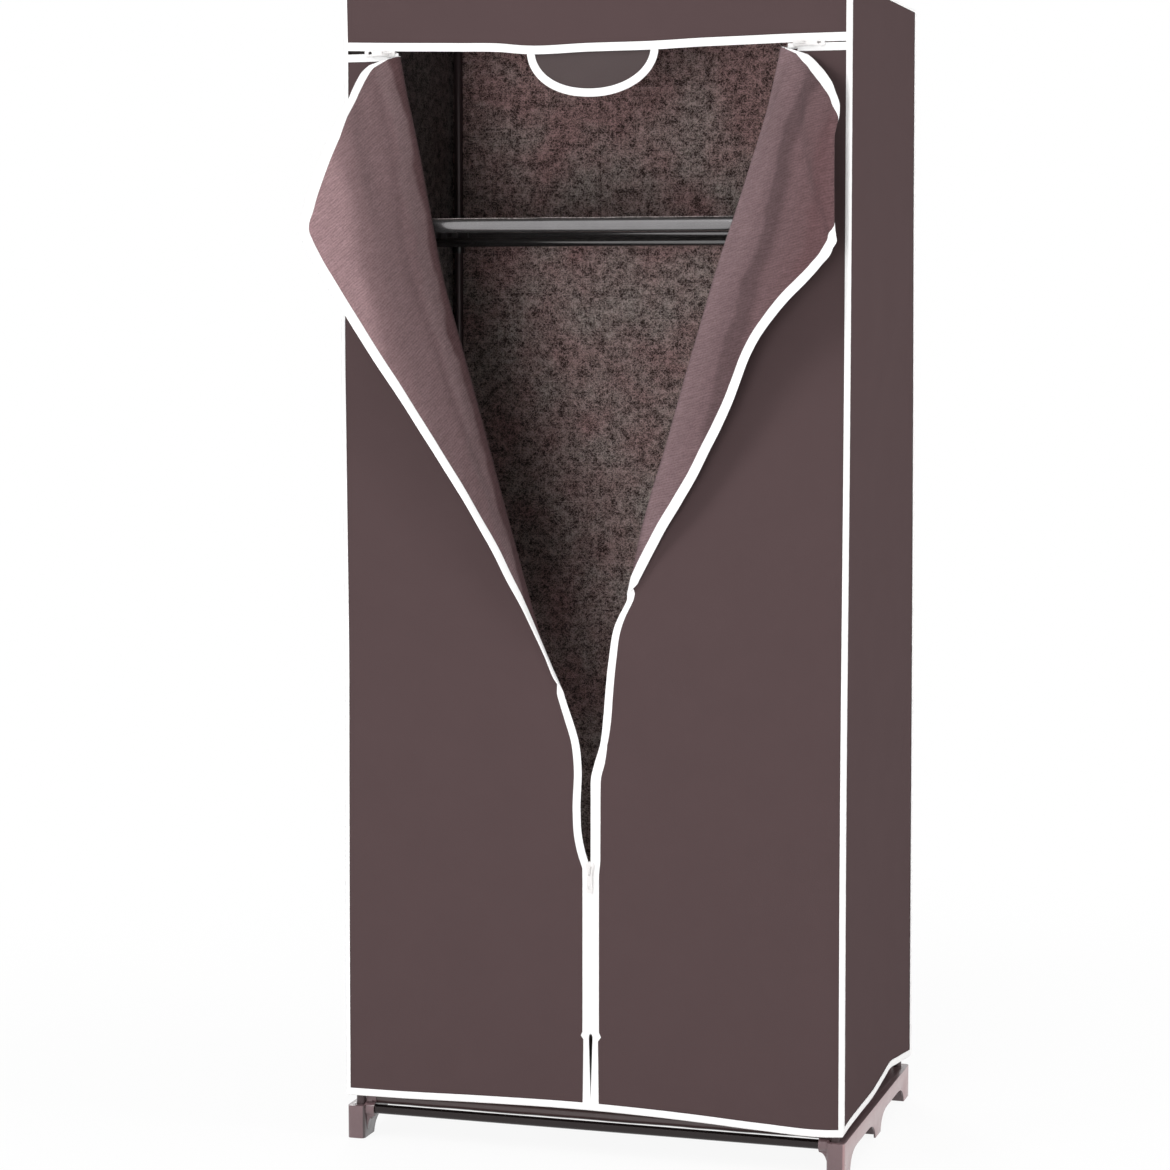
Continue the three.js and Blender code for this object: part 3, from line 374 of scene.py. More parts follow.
# Heathered felt: soft blotches, curled pale fibres where a noise crosses its middle, and fine grit.
# Curl = 1 - |noise - 0.5| * curlEdge, broken up by the fine noise.
# Fleck = ground + grit + curl, height = curl + coarse.
def feltGroup():
    look = feltPattern
    tree, given, out = effectGroup("heatherFelt",
                                   [("Vector", "NodeSocketVector", None),
                                    ("Scale", "NodeSocketFloat", 150.0)],
                                   [("Fleck", "NodeSocketFloat"), ("Patch", "NodeSocketFloat"),
                                    ("Height", "NodeSocketFloat")])
    vector, scale = given.outputs["Vector"], given.outputs["Scale"]
    coarse = noiseOf(tree, vector, calc(tree, "MULTIPLY", scale, look["coarse"]), 5.0, 0.72)
    fine = noiseOf(tree, vector, calc(tree, "MULTIPLY", scale, look["fine"]), 2.0, 0.7)
    patch = noiseOf(tree, vector, calc(tree, "MULTIPLY", scale, look["patch"]), 3.0, 0.55)
    curls = []
    for share in look["curls"]:
        bent = noiseOf(tree, vector, calc(tree, "MULTIPLY", scale, share), 1.0, 0.5)
        off = calc(tree, "ABSOLUTE", calc(tree, "SUBTRACT", bent, 0.5))
        curls.append(calc(tree, "SUBTRACT", 1.0, calc(tree, "MULTIPLY", off, look["curlEdge"]), clamp=True))
    curl = calc(tree, "MULTIPLY",
                calc(tree, "MAXIMUM", curls[0], calc(tree, "MULTIPLY", curls[1], look["second"])),
                calc(tree, "MULTIPLY_ADD", fine, *look["broken"], clamp=True))
    ground = spreadOut(tree, coarse, 0.5, *look["ground"])
    grit = spreadOut(tree, fine, 0.5, look["grit"])
    mixed = calc(tree, "ADD", calc(tree, "ADD", ground, grit), calc(tree, "MULTIPLY", curl, look["curl"]),
                 clamp=True)
    feed(tree, mixed, out.inputs["Fleck"])
    feed(tree, spreadOut(tree, patch, 0.5, look["patches"], 0.5, clamp=True), out.inputs["Patch"])
    feed(tree, calc(tree, "ADD", curl, coarse), out.inputs["Height"])
    return tree


tapePattern = {"ribs": 0.0009, "warp": 0.0007, "threadHalf": 0.0006, "gapShare": 0.22, "ribHeight": 0.12,
               "warpHeight": 0.08, "stitchHeight": 0.9, "tone": 70.0}


# Woven tape seen along its uv: ribs across it, fine warp along it, and a row of lock stitches.
# Ribs = sin(tau x / ribs), warp = sin(tau y / warp), stitch = 1 - |y - row| / threadHalf in each dash.
def tapeGroup():
    look = tapePattern
    tree, given, out = effectGroup("tapeWeave",
                                   [("Vector", "NodeSocketVector", None),
                                    ("Stitch At", "NodeSocketFloat", 0.0095),
                                    ("Stitch Pitch", "NodeSocketFloat", 0.0032)],
                                   [("Height", "NodeSocketFloat"), ("Stitch", "NodeSocketFloat"),
                                    ("Tone", "NodeSocketFloat")])
    at = splitOf(tree, given.outputs["Vector"])
    ribs = calc(tree, "SINE", calc(tree, "MULTIPLY", at["X"], math.tau / look["ribs"]))
    warp = calc(tree, "SINE", calc(tree, "MULTIPLY", at["Y"], math.tau / look["warp"]))
    off = calc(tree, "ABSOLUTE", calc(tree, "SUBTRACT", at["Y"], given.outputs["Stitch At"]))
    row = calc(tree, "SUBTRACT", 1.0, calc(tree, "DIVIDE", off, look["threadHalf"]), clamp=True)
    turns = calc(tree, "DIVIDE", at["X"], given.outputs["Stitch Pitch"])
    dash = calc(tree, "GREATER_THAN", calc(tree, "FRACT", turns), look["gapShare"])
    stitch = calc(tree, "MULTIPLY", row, dash)
    weave = calc(tree, "ADD", calc(tree, "MULTIPLY", ribs, look["ribHeight"]),
                 calc(tree, "MULTIPLY", warp, look["warpHeight"]))
    feed(tree, calc(tree, "ADD", weave, calc(tree, "MULTIPLY", stitch, look["stitchHeight"])),
         out.inputs["Height"])
    feed(tree, stitch, out.inputs["Stitch"])
    feed(tree, noiseOf(tree, given.outputs["Vector"], look["tone"], 3.0), out.inputs["Tone"])
    return tree


wearPattern = {"tone": 0.04, "scuff": 0.3, "scuffFrom": 0.6, "scuffEdge": 6.0}


# Moulding marks: fine orange-peel height, slow tone drift, and sparse scuffs where a rough noise is high.
def wearGroup():
    look = wearPattern
    tree, given, out = effectGroup("mouldMarks",
                                   [("Vector", "NodeSocketVector", None),
                                    ("Scale", "NodeSocketFloat", 500.0)],
                                   [("Tone", "NodeSocketFloat"), ("Height", "NodeSocketFloat"),
                                    ("Scuff", "NodeSocketFloat")])
    vector, scale = given.outputs["Vector"], given.outputs["Scale"]
    fine = noiseOf(tree, vector, scale, 2.0)
    slow = noiseOf(tree, vector, calc(tree, "MULTIPLY", scale, look["tone"]), 3.0)
    scuff = noiseOf(tree, vector, calc(tree, "MULTIPLY", scale, look["scuff"]), 5.0, 0.8)
    feed(tree, slow, out.inputs["Tone"])
    feed(tree, fine, out.inputs["Height"])
    feed(tree, spreadOut(tree, scuff, look["scuffFrom"], look["scuffEdge"], clamp=True), out.inputs["Scuff"])
    return tree


groups = {"grain": grainGroup(), "twill": twillGroup(), "felt": feltGroup(), "tape": tapeGroup(),
          "wear": wearGroup()}


# One of the shared groups inside a material, with its own values.
def useGroup(tree, group, vector, **values):
    made = node(tree, "ShaderNodeGroup", node_tree=groups[group])
    feed(tree, vector, made.inputs["Vector"])
    for key, value in values.items():
        made.inputs[key].default_value = value
    return made.outputs


# A new material: its tree, its Principled BSDF with the plain values set, and its coordinates.
def finishOf(name, plain, kind):
    material = bpy.data.materials.new(name)
    material.use_nodes = True
    tree = material.node_tree
    shader = tree.nodes["Principled BSDF"]
    for key, value in plain.items():
        shader.inputs[key].default_value = value
    return material, tree, shader, node(tree, "ShaderNodeTexCoord").outputs[kind]


def roughBy(tree, shader, tone, span, least):   # roughness = tone * span + least
    feed(tree, calc(tree, "MULTIPLY_ADD", tone, span, least), shader.inputs["Roughness"])


def bumpInto(tree, shader, height, strength, distance):   # height into the normal
    bump = node(tree, "ShaderNodeBump")
    bump.inputs["Strength"].default_value = strength
    bump.inputs["Distance"].default_value = distance
    feed(tree, height, bump.inputs["Height"])
    feed(tree, bump.outputs[0], shader.inputs["Normal"])


coverPaint = {"plain": {"Roughness": 0.95, "Specular IOR Level": 0.03}, "grain": 1100.0,
              "dark": (0.079, 0.0528, 0.054), "light": (0.0895, 0.0595, 0.061), "bump": (0.25, 0.0004)}
tabPaint = {"plain": {"Roughness": 0.9, "Specular IOR Level": 0.15, "Alpha": 0.9}, "grain": 600.0,
            "dark": (0.060, 0.046, 0.046), "light": (0.104, 0.081, 0.081), "bump": (0.4, 0.0004)}
basePaint = {"plain": {"Specular IOR Level": 0.6, "Coat Weight": 0.35, "Coat Roughness": 0.22},
             "grain": 500.0, "dark": (0.030, 0.018, 0.018), "light": (0.085, 0.050, 0.049),
             "rough": (0.25, 0.22), "bump": (0.25, 0.0005)}
coilPaint = {"plain": {"Specular IOR Level": 0.4}, "grain": 1500.0, "dark": (0.012, 0.009, 0.009),
             "light": (0.035, 0.026, 0.026), "rough": (0.3, 0.4), "bump": (0.3, 0.0003)}


# Plain cloth and zip coil: the grain's tone mixes dark to light, and moves the roughness where
# rough is given. The grain's height is the bump.
def grainedFinish(name, look, kind="UV"):
    material, tree, shader, vector = finishOf(name, look["plain"], kind)
    grain = useGroup(tree, "grain", vector, Scale=look["grain"])
    feed(tree, blendColour(tree, grain["Tone"], look["dark"], look["light"]), shader.inputs["Base Color"])
    if "rough" in look:
        roughBy(tree, shader, grain["Tone"], *look["rough"])
    bumpInto(tree, shader, grain["Height"], *look["bump"])
    return material


# Painted light and shade across the doors' lining: the tones stand at places, place = 0.5 + span * metres
# from the fold:
# the left flap's free edge is near 0, both folds are at 0.5 and the right flap's free edge is near 1. They
# paint the left flap pale where it is lit and dark in shade beside its fold, and the right flap with a lit
# band by its fold and a shaded stripe further out.
liningPaint = {"plain": {"Roughness": 0.95, "Specular IOR Level": 0.08, "Sheen Weight": 0.03,
                         "Sheen Roughness": 0.5},
               "dark": (0.085, 0.056, 0.058), "light": (0.245, 0.17, 0.178), "pitch": 0.0033, "slant": 28.0,
               "grainScale": 700.0, "line": 0.17, "streak": 0.48, "grain": 0.62, "grainMiddle": 0.4,
               "stray": 0.03, "strayScale": 14.0, "span": 2.5, "gain": 1.8, "bump": (0.5, 0.0005),
               "paintedLightShade": [(0.0, (1.05, 0.98, 0.99)), (0.12, (0.97, 0.92, 0.92)), (0.20, (0.66, 0.62, 0.62)),
                         (0.26, (0.52, 0.495, 0.495)), (0.36, (0.51, 0.48, 0.48)),
                         (0.385, (0.53, 0.52, 0.515)), (0.418, (0.50, 0.485, 0.48)),
                         (0.438, (0.27, 0.22, 0.22)), (0.50, (0.24, 0.19, 0.19)), (0.53, (0.54, 0.53, 0.54)),
                         (0.555, (0.70, 0.69, 0.70)), (0.61, (0.64, 0.62, 0.63)), (0.67, (0.56, 0.53, 0.54)),
                         (0.70, (0.38, 0.355, 0.36)), (0.735, (0.36, 0.33, 0.335)),
                         (0.78, (0.50, 0.45, 0.455)), (0.85, (0.47, 0.41, 0.415)),
                         (0.90, (0.43, 0.35, 0.355))]}


# Weave lines, streaks and grain mix dark to light, and the tones of painted light and shade, with a gain,
# multiply the result.
# A slow noise lets the tones' edges stray.
def liningCloth():
    look = liningPaint
    material, tree, shader, vector = finishOf("lining_cloth", look["plain"], "UV")
    twill = useGroup(tree, "twill", vector, Pitch=look["pitch"], Slant=look["slant"])
    grain = useGroup(tree, "grain", vector, Scale=look["grainScale"])
    mixed = calc(tree, "ADD", calc(tree, "MULTIPLY", twill["Line"], look["line"]),
                 calc(tree, "MULTIPLY", twill["Streak"], look["streak"]))
    mixed = calc(tree, "ADD", mixed, spreadOut(tree, grain["Height"], look["grainMiddle"], look["grain"]))
    base = blendColour(tree, mixed, look["dark"], look["light"])
    stray = spreadOut(tree, noiseOf(tree, vector, look["strayScale"], 2.0), 0.5, look["stray"])
    moved = calc(tree, "ADD", splitOf(tree, vector)["X"], stray)
    # The ramp paints light and shade across the lining by place.
    ramp = node(tree, "ShaderNodeValToRGB")
    ramp.color_ramp.interpolation = "EASE"
    while len(ramp.color_ramp.elements) < len(look["paintedLightShade"]):
        ramp.color_ramp.elements.new(0.5)
    for element, (at, tone) in zip(ramp.color_ramp.elements, look["paintedLightShade"]):
        element.position, element.color = at, (*tone, 1)
    feed(tree, calc(tree, "MULTIPLY_ADD", moved, look["span"], 0.5), ramp.inputs[0])
    shaded = node(tree, "ShaderNodeMix", data_type="RGBA", blend_type="MULTIPLY")
    shaded.inputs["Factor"].default_value = 1
    feed(tree, base, shaded.inputs[6])
    feed(tree, scaledColour(tree, ramp.outputs[0], look["gain"]), shaded.inputs[7])
    feed(tree, shaded.outputs[2], shader.inputs["Base Color"])
    bumpInto(tree, shader, calc(tree, "ADD", twill["Line"], grain["Height"]), *look["bump"])
    return material


feltPaint = {"plain": {"Roughness": 1.0, "Specular IOR Level": 0.05}, "scale": 150.0, "bump": (0.6, 0.0012),
             "top": 1.30, "slope": 3.5, "plum": 0.9,   # above top the patch colour comes in, slope per metre
             # lift: painted light, how much brighter the felt is painted near the top
             "wall": {"dark": (0.050, 0.035, 0.033), "light": (0.58, 0.485, 0.45),
                      "patch": (0.56, 0.345, 0.335), "lift": 0.12},
             "side": {"dark": (0.060, 0.055, 0.053), "light": (0.46, 0.42, 0.40),
                      "patch": (0.36, 0.30, 0.295), "lift": 0.0}}


# Flecks mix dark to a ground that goes from light to patch. Near the top it is 1 + lift as bright: painted
# light on the upper felt.
def feltCloth(name):
    look, colours = feltPaint, feltPaint[name]
    material, tree, shader, vector = finishOf(f"felt_{name}", look["plain"], "UV")
    flecks = useGroup(tree, "felt", vector, Scale=look["scale"])
    rise = spreadOut(tree, splitOf(tree, vector)["Y"], look["top"], look["slope"], clamp=True)
    plum = calc(tree, "ADD", flecks["Patch"], calc(tree, "MULTIPLY", rise, look["plum"]), clamp=True)
    cloth = blendColour(tree, flecks["Fleck"], colours["dark"],
                        blendColour(tree, plum, colours["light"], colours["patch"]))
    # painted light: brighter near the top
    paintedTopLight = scaledColour(tree, cloth, calc(tree, "MULTIPLY_ADD", rise, colours["lift"], 1.0))
    feed(tree, paintedTopLight, shader.inputs["Base Color"])
    bumpInto(tree, shader, flecks["Height"], *look["bump"])
    return material


tapePaint = {"plain": {"Roughness": 0.85, "Specular IOR Level": 0.2, "Sheen Weight": 0.05},
             "colour": (0.97, 0.965, 0.96), "shade": (0.91, 0.90, 0.895), "thread": (0.84, 0.83, 0.82),
             "mix": 0.5, "bump": (0.5, 0.0004)}


# Near-white tape: slow tone mixes colour to shade, and the stitches go halfway to the thread's colour.
def bindingTape():
    look = tapePaint
    material, tree, shader, vector = finishOf("binding_tape", look["plain"], "UV")
    weave = useGroup(tree, "tape", vector)
    cloth = blendColour(tree, calc(tree, "MULTIPLY", weave["Tone"], look["mix"]), look["colour"],
                        look["shade"])
    feed(tree, blendColour(tree, calc(tree, "MULTIPLY", weave["Stitch"], look["mix"]), cloth, look["thread"]),
         shader.inputs["Base Color"])
    bumpInto(tree, shader, weave["Height"], *look["bump"])
    return material


plasticPaint = {"plain": {"Specular IOR Level": 0.55, "Coat Weight": 0.3, "Coat Roughness": 0.25},
                "wear": 900.0, "shade": 0.8, "scuff": 0.5, "rough": (0.2, 0.22), "bump": (0.12, 0.0004),
                # inner: painted shade on top faces and on +X faces further in; rose: painted light on the
                # right-hand outer faces
                "inner": (0.020, 0.014, 0.014), "topShadeShare": 0.85, "sideShadeShare": 0.7, "topDeep": 0.0002,
                "paintedLitRose": (0.34, 0.205, 0.21), "paintedLitFrom": 0.3, "facing": 0.6,
                "rail": {"colour": (0.165, 0.104, 0.111), "pale": (0.27, 0.19, 0.195)},
                "bracket": {"colour": (0.022, 0.018, 0.018), "pale": (0.06, 0.05, 0.05)}}
outOfReach = 9.0   # metres, above everything


# Tone drift mixes the colour to its shade. Painted shade: faces above the given height go to the dark inner
# colour.
# Faces turned to +X take the rose colour, painted light on the lit right-hand outer side, where x is past the
# given place, and part of the dark inner colour, painted shade, elsewhere.
def mouldedPlastic(name, colour, pale, paintedShadeFrom=outOfReach):
    look = plasticPaint
    material, tree, shader, vector = finishOf(name, look["plain"], "Object")
    marks = useGroup(tree, "wear", vector, Scale=look["wear"])
    at = splitOf(tree, vector)
    facing = splitOf(tree, node(tree, "ShaderNodeNewGeometry").outputs["Normal"])
    tone = blendColour(tree, marks["Tone"], colour, tuple(look["shade"] * value for value in colour))
    # painted shade on the faces on top
    top = calc(tree, "GREATER_THAN", at["Z"], paintedShadeFrom)
    tone = blendColour(tree, calc(tree, "MULTIPLY", top, look["topShadeShare"]), tone, look["inner"])
    # painted light on the right-hand outer faces, painted shade on +X faces further in
    outer = calc(tree, "GREATER_THAN", at["X"], look["paintedLitFrom"])
    right = calc(tree, "GREATER_THAN", facing["X"], look["facing"])
    tone = blendColour(tree, calc(tree, "MULTIPLY", right, outer), tone, look["paintedLitRose"])
    inner = calc(tree, "MULTIPLY", right, calc(tree, "SUBTRACT", look["sideShadeShare"], outer), clamp=True)
    tone = blendColour(tree, inner, tone, look["inner"])
    feed(tree, blendColour(tree, calc(tree, "MULTIPLY", marks["Scuff"], look["scuff"]), tone, pale),
         shader.inputs["Base Color"])
    roughBy(tree, shader, marks["Tone"], *look["rough"])
    bumpInto(tree, shader, marks["Height"], *look["bump"])
    return material


tubePaint = {
    "wear": 700.0, "coatRough": 0.12, "shade": 0.75, "bright": 1.8, "scuff": 0.25, "roughSpan": 0.14,
    "bump": (0.05, 0.0003),
    "kinds": {
        "post": {"name": "post_tube", "colour": (0.085, 0.058, 0.060), "metal": 0.35, "rough": 0.33,
                 "coat": 0.1},
        "rail": {"name": "rail_tube", "colour": (0.17, 0.165, 0.165), "metal": 0.9, "rough": 0.12,
                 "coat": 0.3},
        "baseTube": {"name": "base_tube_coat", "colour": (0.022, 0.015, 0.015), "metal": 0.7, "rough": 0.12,
                     "coat": 0.3},
        "shelfTube": {"name": "shelf_tube_coat", "colour": (0.27, 0.26, 0.265), "metal": 0.85, "rough": 0.14,
                      "coat": 0.3},
    }}


# Coated metal: tone drift mixes the colour to its shade, and scuffs mix in a brighter one.
def coatedTube(name, colour, metal, rough, coat):
    look = tubePaint
    plain = {"Metallic": metal, "Coat Weight": coat, "Coat Roughness": look["coatRough"]}
    material, tree, shader, vector = finishOf(name, plain, "Object")
    marks = useGroup(tree, "wear", vector, Scale=look["wear"])
    tone = blendColour(tree, marks["Tone"], colour, tuple(look["shade"] * value for value in colour))
    bright = tuple(min(1.0, look["bright"] * value) for value in colour)
    feed(tree, blendColour(tree, calc(tree, "MULTIPLY", marks["Scuff"], look["scuff"]), tone, bright),
         shader.inputs["Base Color"])
    roughBy(tree, shader, marks["Tone"], look["roughSpan"], rough)
    bumpInto(tree, shader, marks["Height"], *look["bump"])
    return material


metalPaint = {"plain": {"Metallic": 0.15, "Coat Weight": 0.4, "Coat Roughness": 0.15}, "wear": 1500.0,
              "colour": (0.82, 0.80, 0.79), "worn": (0.5, 0.48, 0.47), "scuff": 0.5, "rough": (0.2, 0.25),
              "bump": (0.08, 0.0003)}


def zipMetal():   # pale metal, with scuffs halfway to the worn colour
    look = metalPaint
    material, tree, shader, vector = finishOf("zip_metal", look["plain"], "Object")
    marks = useGroup(tree, "wear", vector, Scale=look["wear"])
    worn = calc(tree, "MULTIPLY", marks["Scuff"], look["scuff"])
    feed(tree, blendColour(tree, worn, look["colour"], look["worn"]), shader.inputs["Base Color"])
    roughBy(tree, shader, marks["Tone"], *look["rough"])
    bumpInto(tree, shader, marks["Height"], *look["bump"])
    return material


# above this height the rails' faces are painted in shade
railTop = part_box("base_rail_right")[1].z - plasticPaint["topDeep"]
finishes = {
    "cover": grainedFinish("cover_cloth", coverPaint), "lining": liningCloth(),
    "wall": feltCloth("wall"), "side": feltCloth("side"),
    "tape": bindingTape(), "tab": grainedFinish("tab_cloth", tabPaint),
    "base": grainedFinish("base_cloth", basePaint),
    "plastic": mouldedPlastic("moulded_plastic", **plasticPaint["rail"], paintedShadeFrom=railTop),
    "bracket": mouldedPlastic("bracket_plastic", **plasticPaint["bracket"]),
    **{key: coatedTube(**look) for key, look in tubePaint["kinds"].items()},
    "coil": grainedFinish("zip_coil", coilPaint, "Object"), "metal": zipMetal(),
}
print("finishes made:", len(finishes))


# The piece rides on its body and stands for its nodes.
def dress(piece, slot, *nodes, body="root"):
    if body is not None:
        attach(piece, body)
    if nodes:
        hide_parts(*nodes)
    return piece


view = {"place": (1.18066, -4.07648, 1.15543), "turn": (84.8515, 0, 16.8511), "lens": 94.02, "sensor": 36}
cameraData = bpy.data.cameras.new("camera")
cameraData.lens = view["lens"]
cameraData.sensor_width = view["sensor"]
camera = bpy.data.objects.new("camera", cameraData)
camera.location = view["place"]
camera.rotation_euler = [math.radians(angle) for angle in view["turn"]]
bpy.context.scene.collection.objects.link(camera)
bpy.context.scene.camera = camera
bpy.context.scene.view_settings.view_transform = "Standard"

lamps = {
    "key": {"at": (-1.9, -3.0, 2.6), "aim": (0, 0, 0.8), "size": 1.3, "power": 40, "shine": False},
    "front": {"at": (0.3, -4.2, 0.9), "aim": (0, 0, 0.9), "size": 1.2, "power": 62, "shine": False},
    "sky": {"at": (0.2, -2.4, 4.4), "aim": (0, 0, 0.8), "size": 1.0, "power": 39},
    "side": {"at": (3.5, -0.25, 1.9), "aim": (0.2, 0, 0.7), "size": 1.2, "power": 60},
    "back": {"at": (-1.6, 3.4, 2.6), "aim": (0, 0, 0.8), "size": 1.6, "power": 66},
}
for name, lamp in lamps.items():
    data = bpy.data.lights.new(name, "AREA")
    data.size, data.energy = lamp["size"], lamp["power"]
    light = bpy.data.objects.new(name, data)
    light.location = lamp["at"]
    light.visible_glossy = lamp.get("shine", True)   # lamps without shine leave no highlight
    away = np.array(lamp["at"]) - np.array(lamp["aim"])
    flat = math.hypot(away[0], away[1])
    light.rotation_euler = (math.atan2(flat, away[2]), 0, math.atan2(away[0], -away[1]))
    bpy.context.scene.collection.objects.link(light)


# 1 where a ray comes from the camera, straight, by gloss or through glass, and 0 for light on the part.
def seenBy(tree):
    rays = node(tree, "ShaderNodeLightPath").outputs
    return calc(tree, "MAXIMUM", rays["Is Camera Ray"],
                calc(tree, "MAXIMUM", rays["Is Glossy Ray"], rays["Is Transmission Ray"]))


# The background is white. Its light on the part is ambient. The floor is seen white too, a little
# darker round the part: shade inside the first distance, white past the second.
roomLook = {"ambient": 0.35, "floorSize": 30, "floorColour": (0.93, 0.93, 0.93, 1), "shade": 0.92,
            "shadeReach": (0.7, 2.2)}
world = bpy.data.worlds.new("room")
bpy.context.scene.world = world
world.use_nodes = True
tree = world.node_tree
background = tree.nodes["Background"]
background.inputs["Color"].default_value = (1, 1, 1, 1)
feed(tree, calc(tree, "MULTIPLY_ADD", seenBy(tree), 1 - roomLook["ambient"], roomLook["ambient"]),
     background.inputs["Strength"])

half = roomLook["floorSize"]
floorMesh = bpy.data.meshes.new("floor")
floorMesh.from_pydata([(-half, -half, -mm), (half, -half, -mm), (half, half, -mm), (-half, half, -mm)], [],
                      [(0, 1, 2, 3)])
floor = bpy.data.objects.new("floor", floorMesh)
bpy.context.scene.collection.objects.link(floor)
floorPlain = {"Base Color": roomLook["floorColour"], "Roughness": 1.0, "Specular IOR Level": 0.0}
floorPaint, tree, shader, spot = finishOf("floor_paint", floorPlain, "Object")
white = node(tree, "ShaderNodeEmission")
paint = node(tree, "ShaderNodeMixShader")
distance = node(tree, "ShaderNodeVectorMath", operation="LENGTH")
feed(tree, spot, distance.inputs[0])
shade = node(tree, "ShaderNodeMapRange", interpolation_type="SMOOTHSTEP")
nearest, furthest = roomLook["shadeReach"]
for key, value in (("From Min", nearest), ("From Max", furthest), ("To Min", roomLook["shade"]),
                   ("To Max", 1.0)):
    shade.inputs[key].default_value = value
feed(tree, distance.outputs["Value"], shade.inputs["Value"])
feed(tree, calc(tree, "MULTIPLY", seenBy(tree), shade.outputs[0]), paint.inputs[0])
feed(tree, shader.outputs[0], paint.inputs[1])
feed(tree, white.outputs[0], paint.inputs[2])
feed(tree, paint.outputs[0], tree.nodes["Material Output"].inputs["Surface"])
floorMesh.materials.append(floorPaint)
print("camera, lamps and floor set")


# Height of the hem's lower edge along each wall: metres along it from the middle, and the height.
hemLook = {
    "front": [(-0.35, 0.061), (-0.277, 0.0616), (-0.16, 0.0642), (-0.002, 0.0655), (0.084, 0.0635),
              (0.155, 0.0606), (0.238, 0.0562), (0.331, 0.054), (0.35, 0.0555)],
    "right": [(-0.225, 0.0555), (-0.197, 0.0578), (-0.119, 0.061), (-0.037, 0.0635), (0.033, 0.0713),
              (0.076, 0.0765), (0.128, 0.0716), (0.225, 0.0605)],
    "left": [(-0.225, 0.061), (-0.1, 0.064), (0.06, 0.067), (0.16, 0.063), (0.225, 0.061)],
    "back": [(-0.35, 0.061), (-0.2, 0.0645), (0.05, 0.062), (0.2, 0.066), (0.35, 0.0605)],
}
middleY = (frontY + backY) / 2


# Height of the hem's lower edge along one wall.
def hemAt(wall, along):
    known = np.array(hemLook[wall])
    return hermite(known[:, 0], known[:, 1], along)


# How far each upright edge of the cover hangs to the right: height in metres, and shift in millimetres.
cornerLook = {
    ("left", "front"): [(0.05, -5.5), (0.3, -5), (0.5, -4), (0.7, -3), (0.85, -4), (1, -5), (1.13, -5.5),
                        (1.3, -1), (1.49, 1.5), (1.59, 0)],
    ("right", "back"): [(0.05, 7), (0.3, 6), (0.7, 4.5), (1, 3), (1.3, 1), (1.59, 0)],
    ("right", "front"): [(0.05, 0.5), (0.5, -0.5), (1, 0.5), (1.59, 0)],
    ("left", "back"): [(0.05, -3), (0.6, -2), (1.1, -3), (1.59, 0)],
}


# Where an upright edge of the cover hangs, at each height.
def cornerAt(side, wall, heights):
    known = np.array(cornerLook[side, wall])
    heights = np.asarray(heights, float)
    drift = hermite(known[:, 0], known[:, 1], heights.ravel()).reshape(heights.shape) * mm
    return (rightX if side == "right" else leftX) + drift


# dip: place along x, and how far the header's lower edge lies above its line, in metres.
headerLook = {"dip": [(-0.35, 0.004), (-0.269, 0.0015), (-0.183, -0.0008), (-0.127, -0.0027),
                      (-0.092, -0.0062), (-0.001, -0.005), (0.095, -0.0042), (0.15, -0.0022),
                      (0.204, -0.0012), (0.264, 0.0), (0.35, 0.0005)],
              "tape": 0.0098, "lap": 0.001, "thick": 0.0016, "stand": 0.0011, "overlap": 0.001}


# Lower edge of the header's cloth, which dips between its ends.
def headerAt(x):
    known = np.array(headerLook["dip"])
    return headerZ + hermite(known[:, 0], known[:, 1], x)


# Lengths in metres. Places down the fold are shares of its length.
doorLook = {"columns": 46, "bendSteps": 10, "panelSteps": 30, "curlSteps": 16,   # points in a row
            "foldRows": 230, "endRows": 12, "lowRows": 110,
            "bend": 0.009, "bendEnd": 0.0018, "tightFrom": 0.8, "tightOver": 0.2,   # radius round the fold
            "stand": 0.0015, "bow": 0.035, "curlRadius": 0.006, "curlLead": 0.008, "slimEnd": 0.02,
            "tapeWide": 0.0114, "tapeThick": 0.0024, "tapeIn": 0.0008, "tapeOut": 0.0006, "tapeFan": 3.4,
            "wave": 0.0013, "waves": (0.5, 0.14), "waveUp": 0.7, "calmFold": 0.05, "calmSide": 0.04,
            "riseReach": 0.03, "lowRise": 0.09,   # how far from the fold, and below it, the door rises to it
            "flapWave": 0.0024, "flapWaves": (0.34, 0.09), "flapStretch": 2.2, "flapCalm": 0.02,
            "creaseStray": 0.012, "creaseWaves": (0.5, 0.2, 3), "creaseHead": (0.02, 0.08),
            "creaseFoot": (0.9, 0.4),   # place and length of the creases' fading
            "zipStop": 0.163, "slitFoot": 0.072, "slitHalf": 0.0008, "slitFlare": 0.0036, "slitStep": 0.004,
            "topDip": 0.0047, "dipReach": 0.03}   # the fold's head hangs below the header
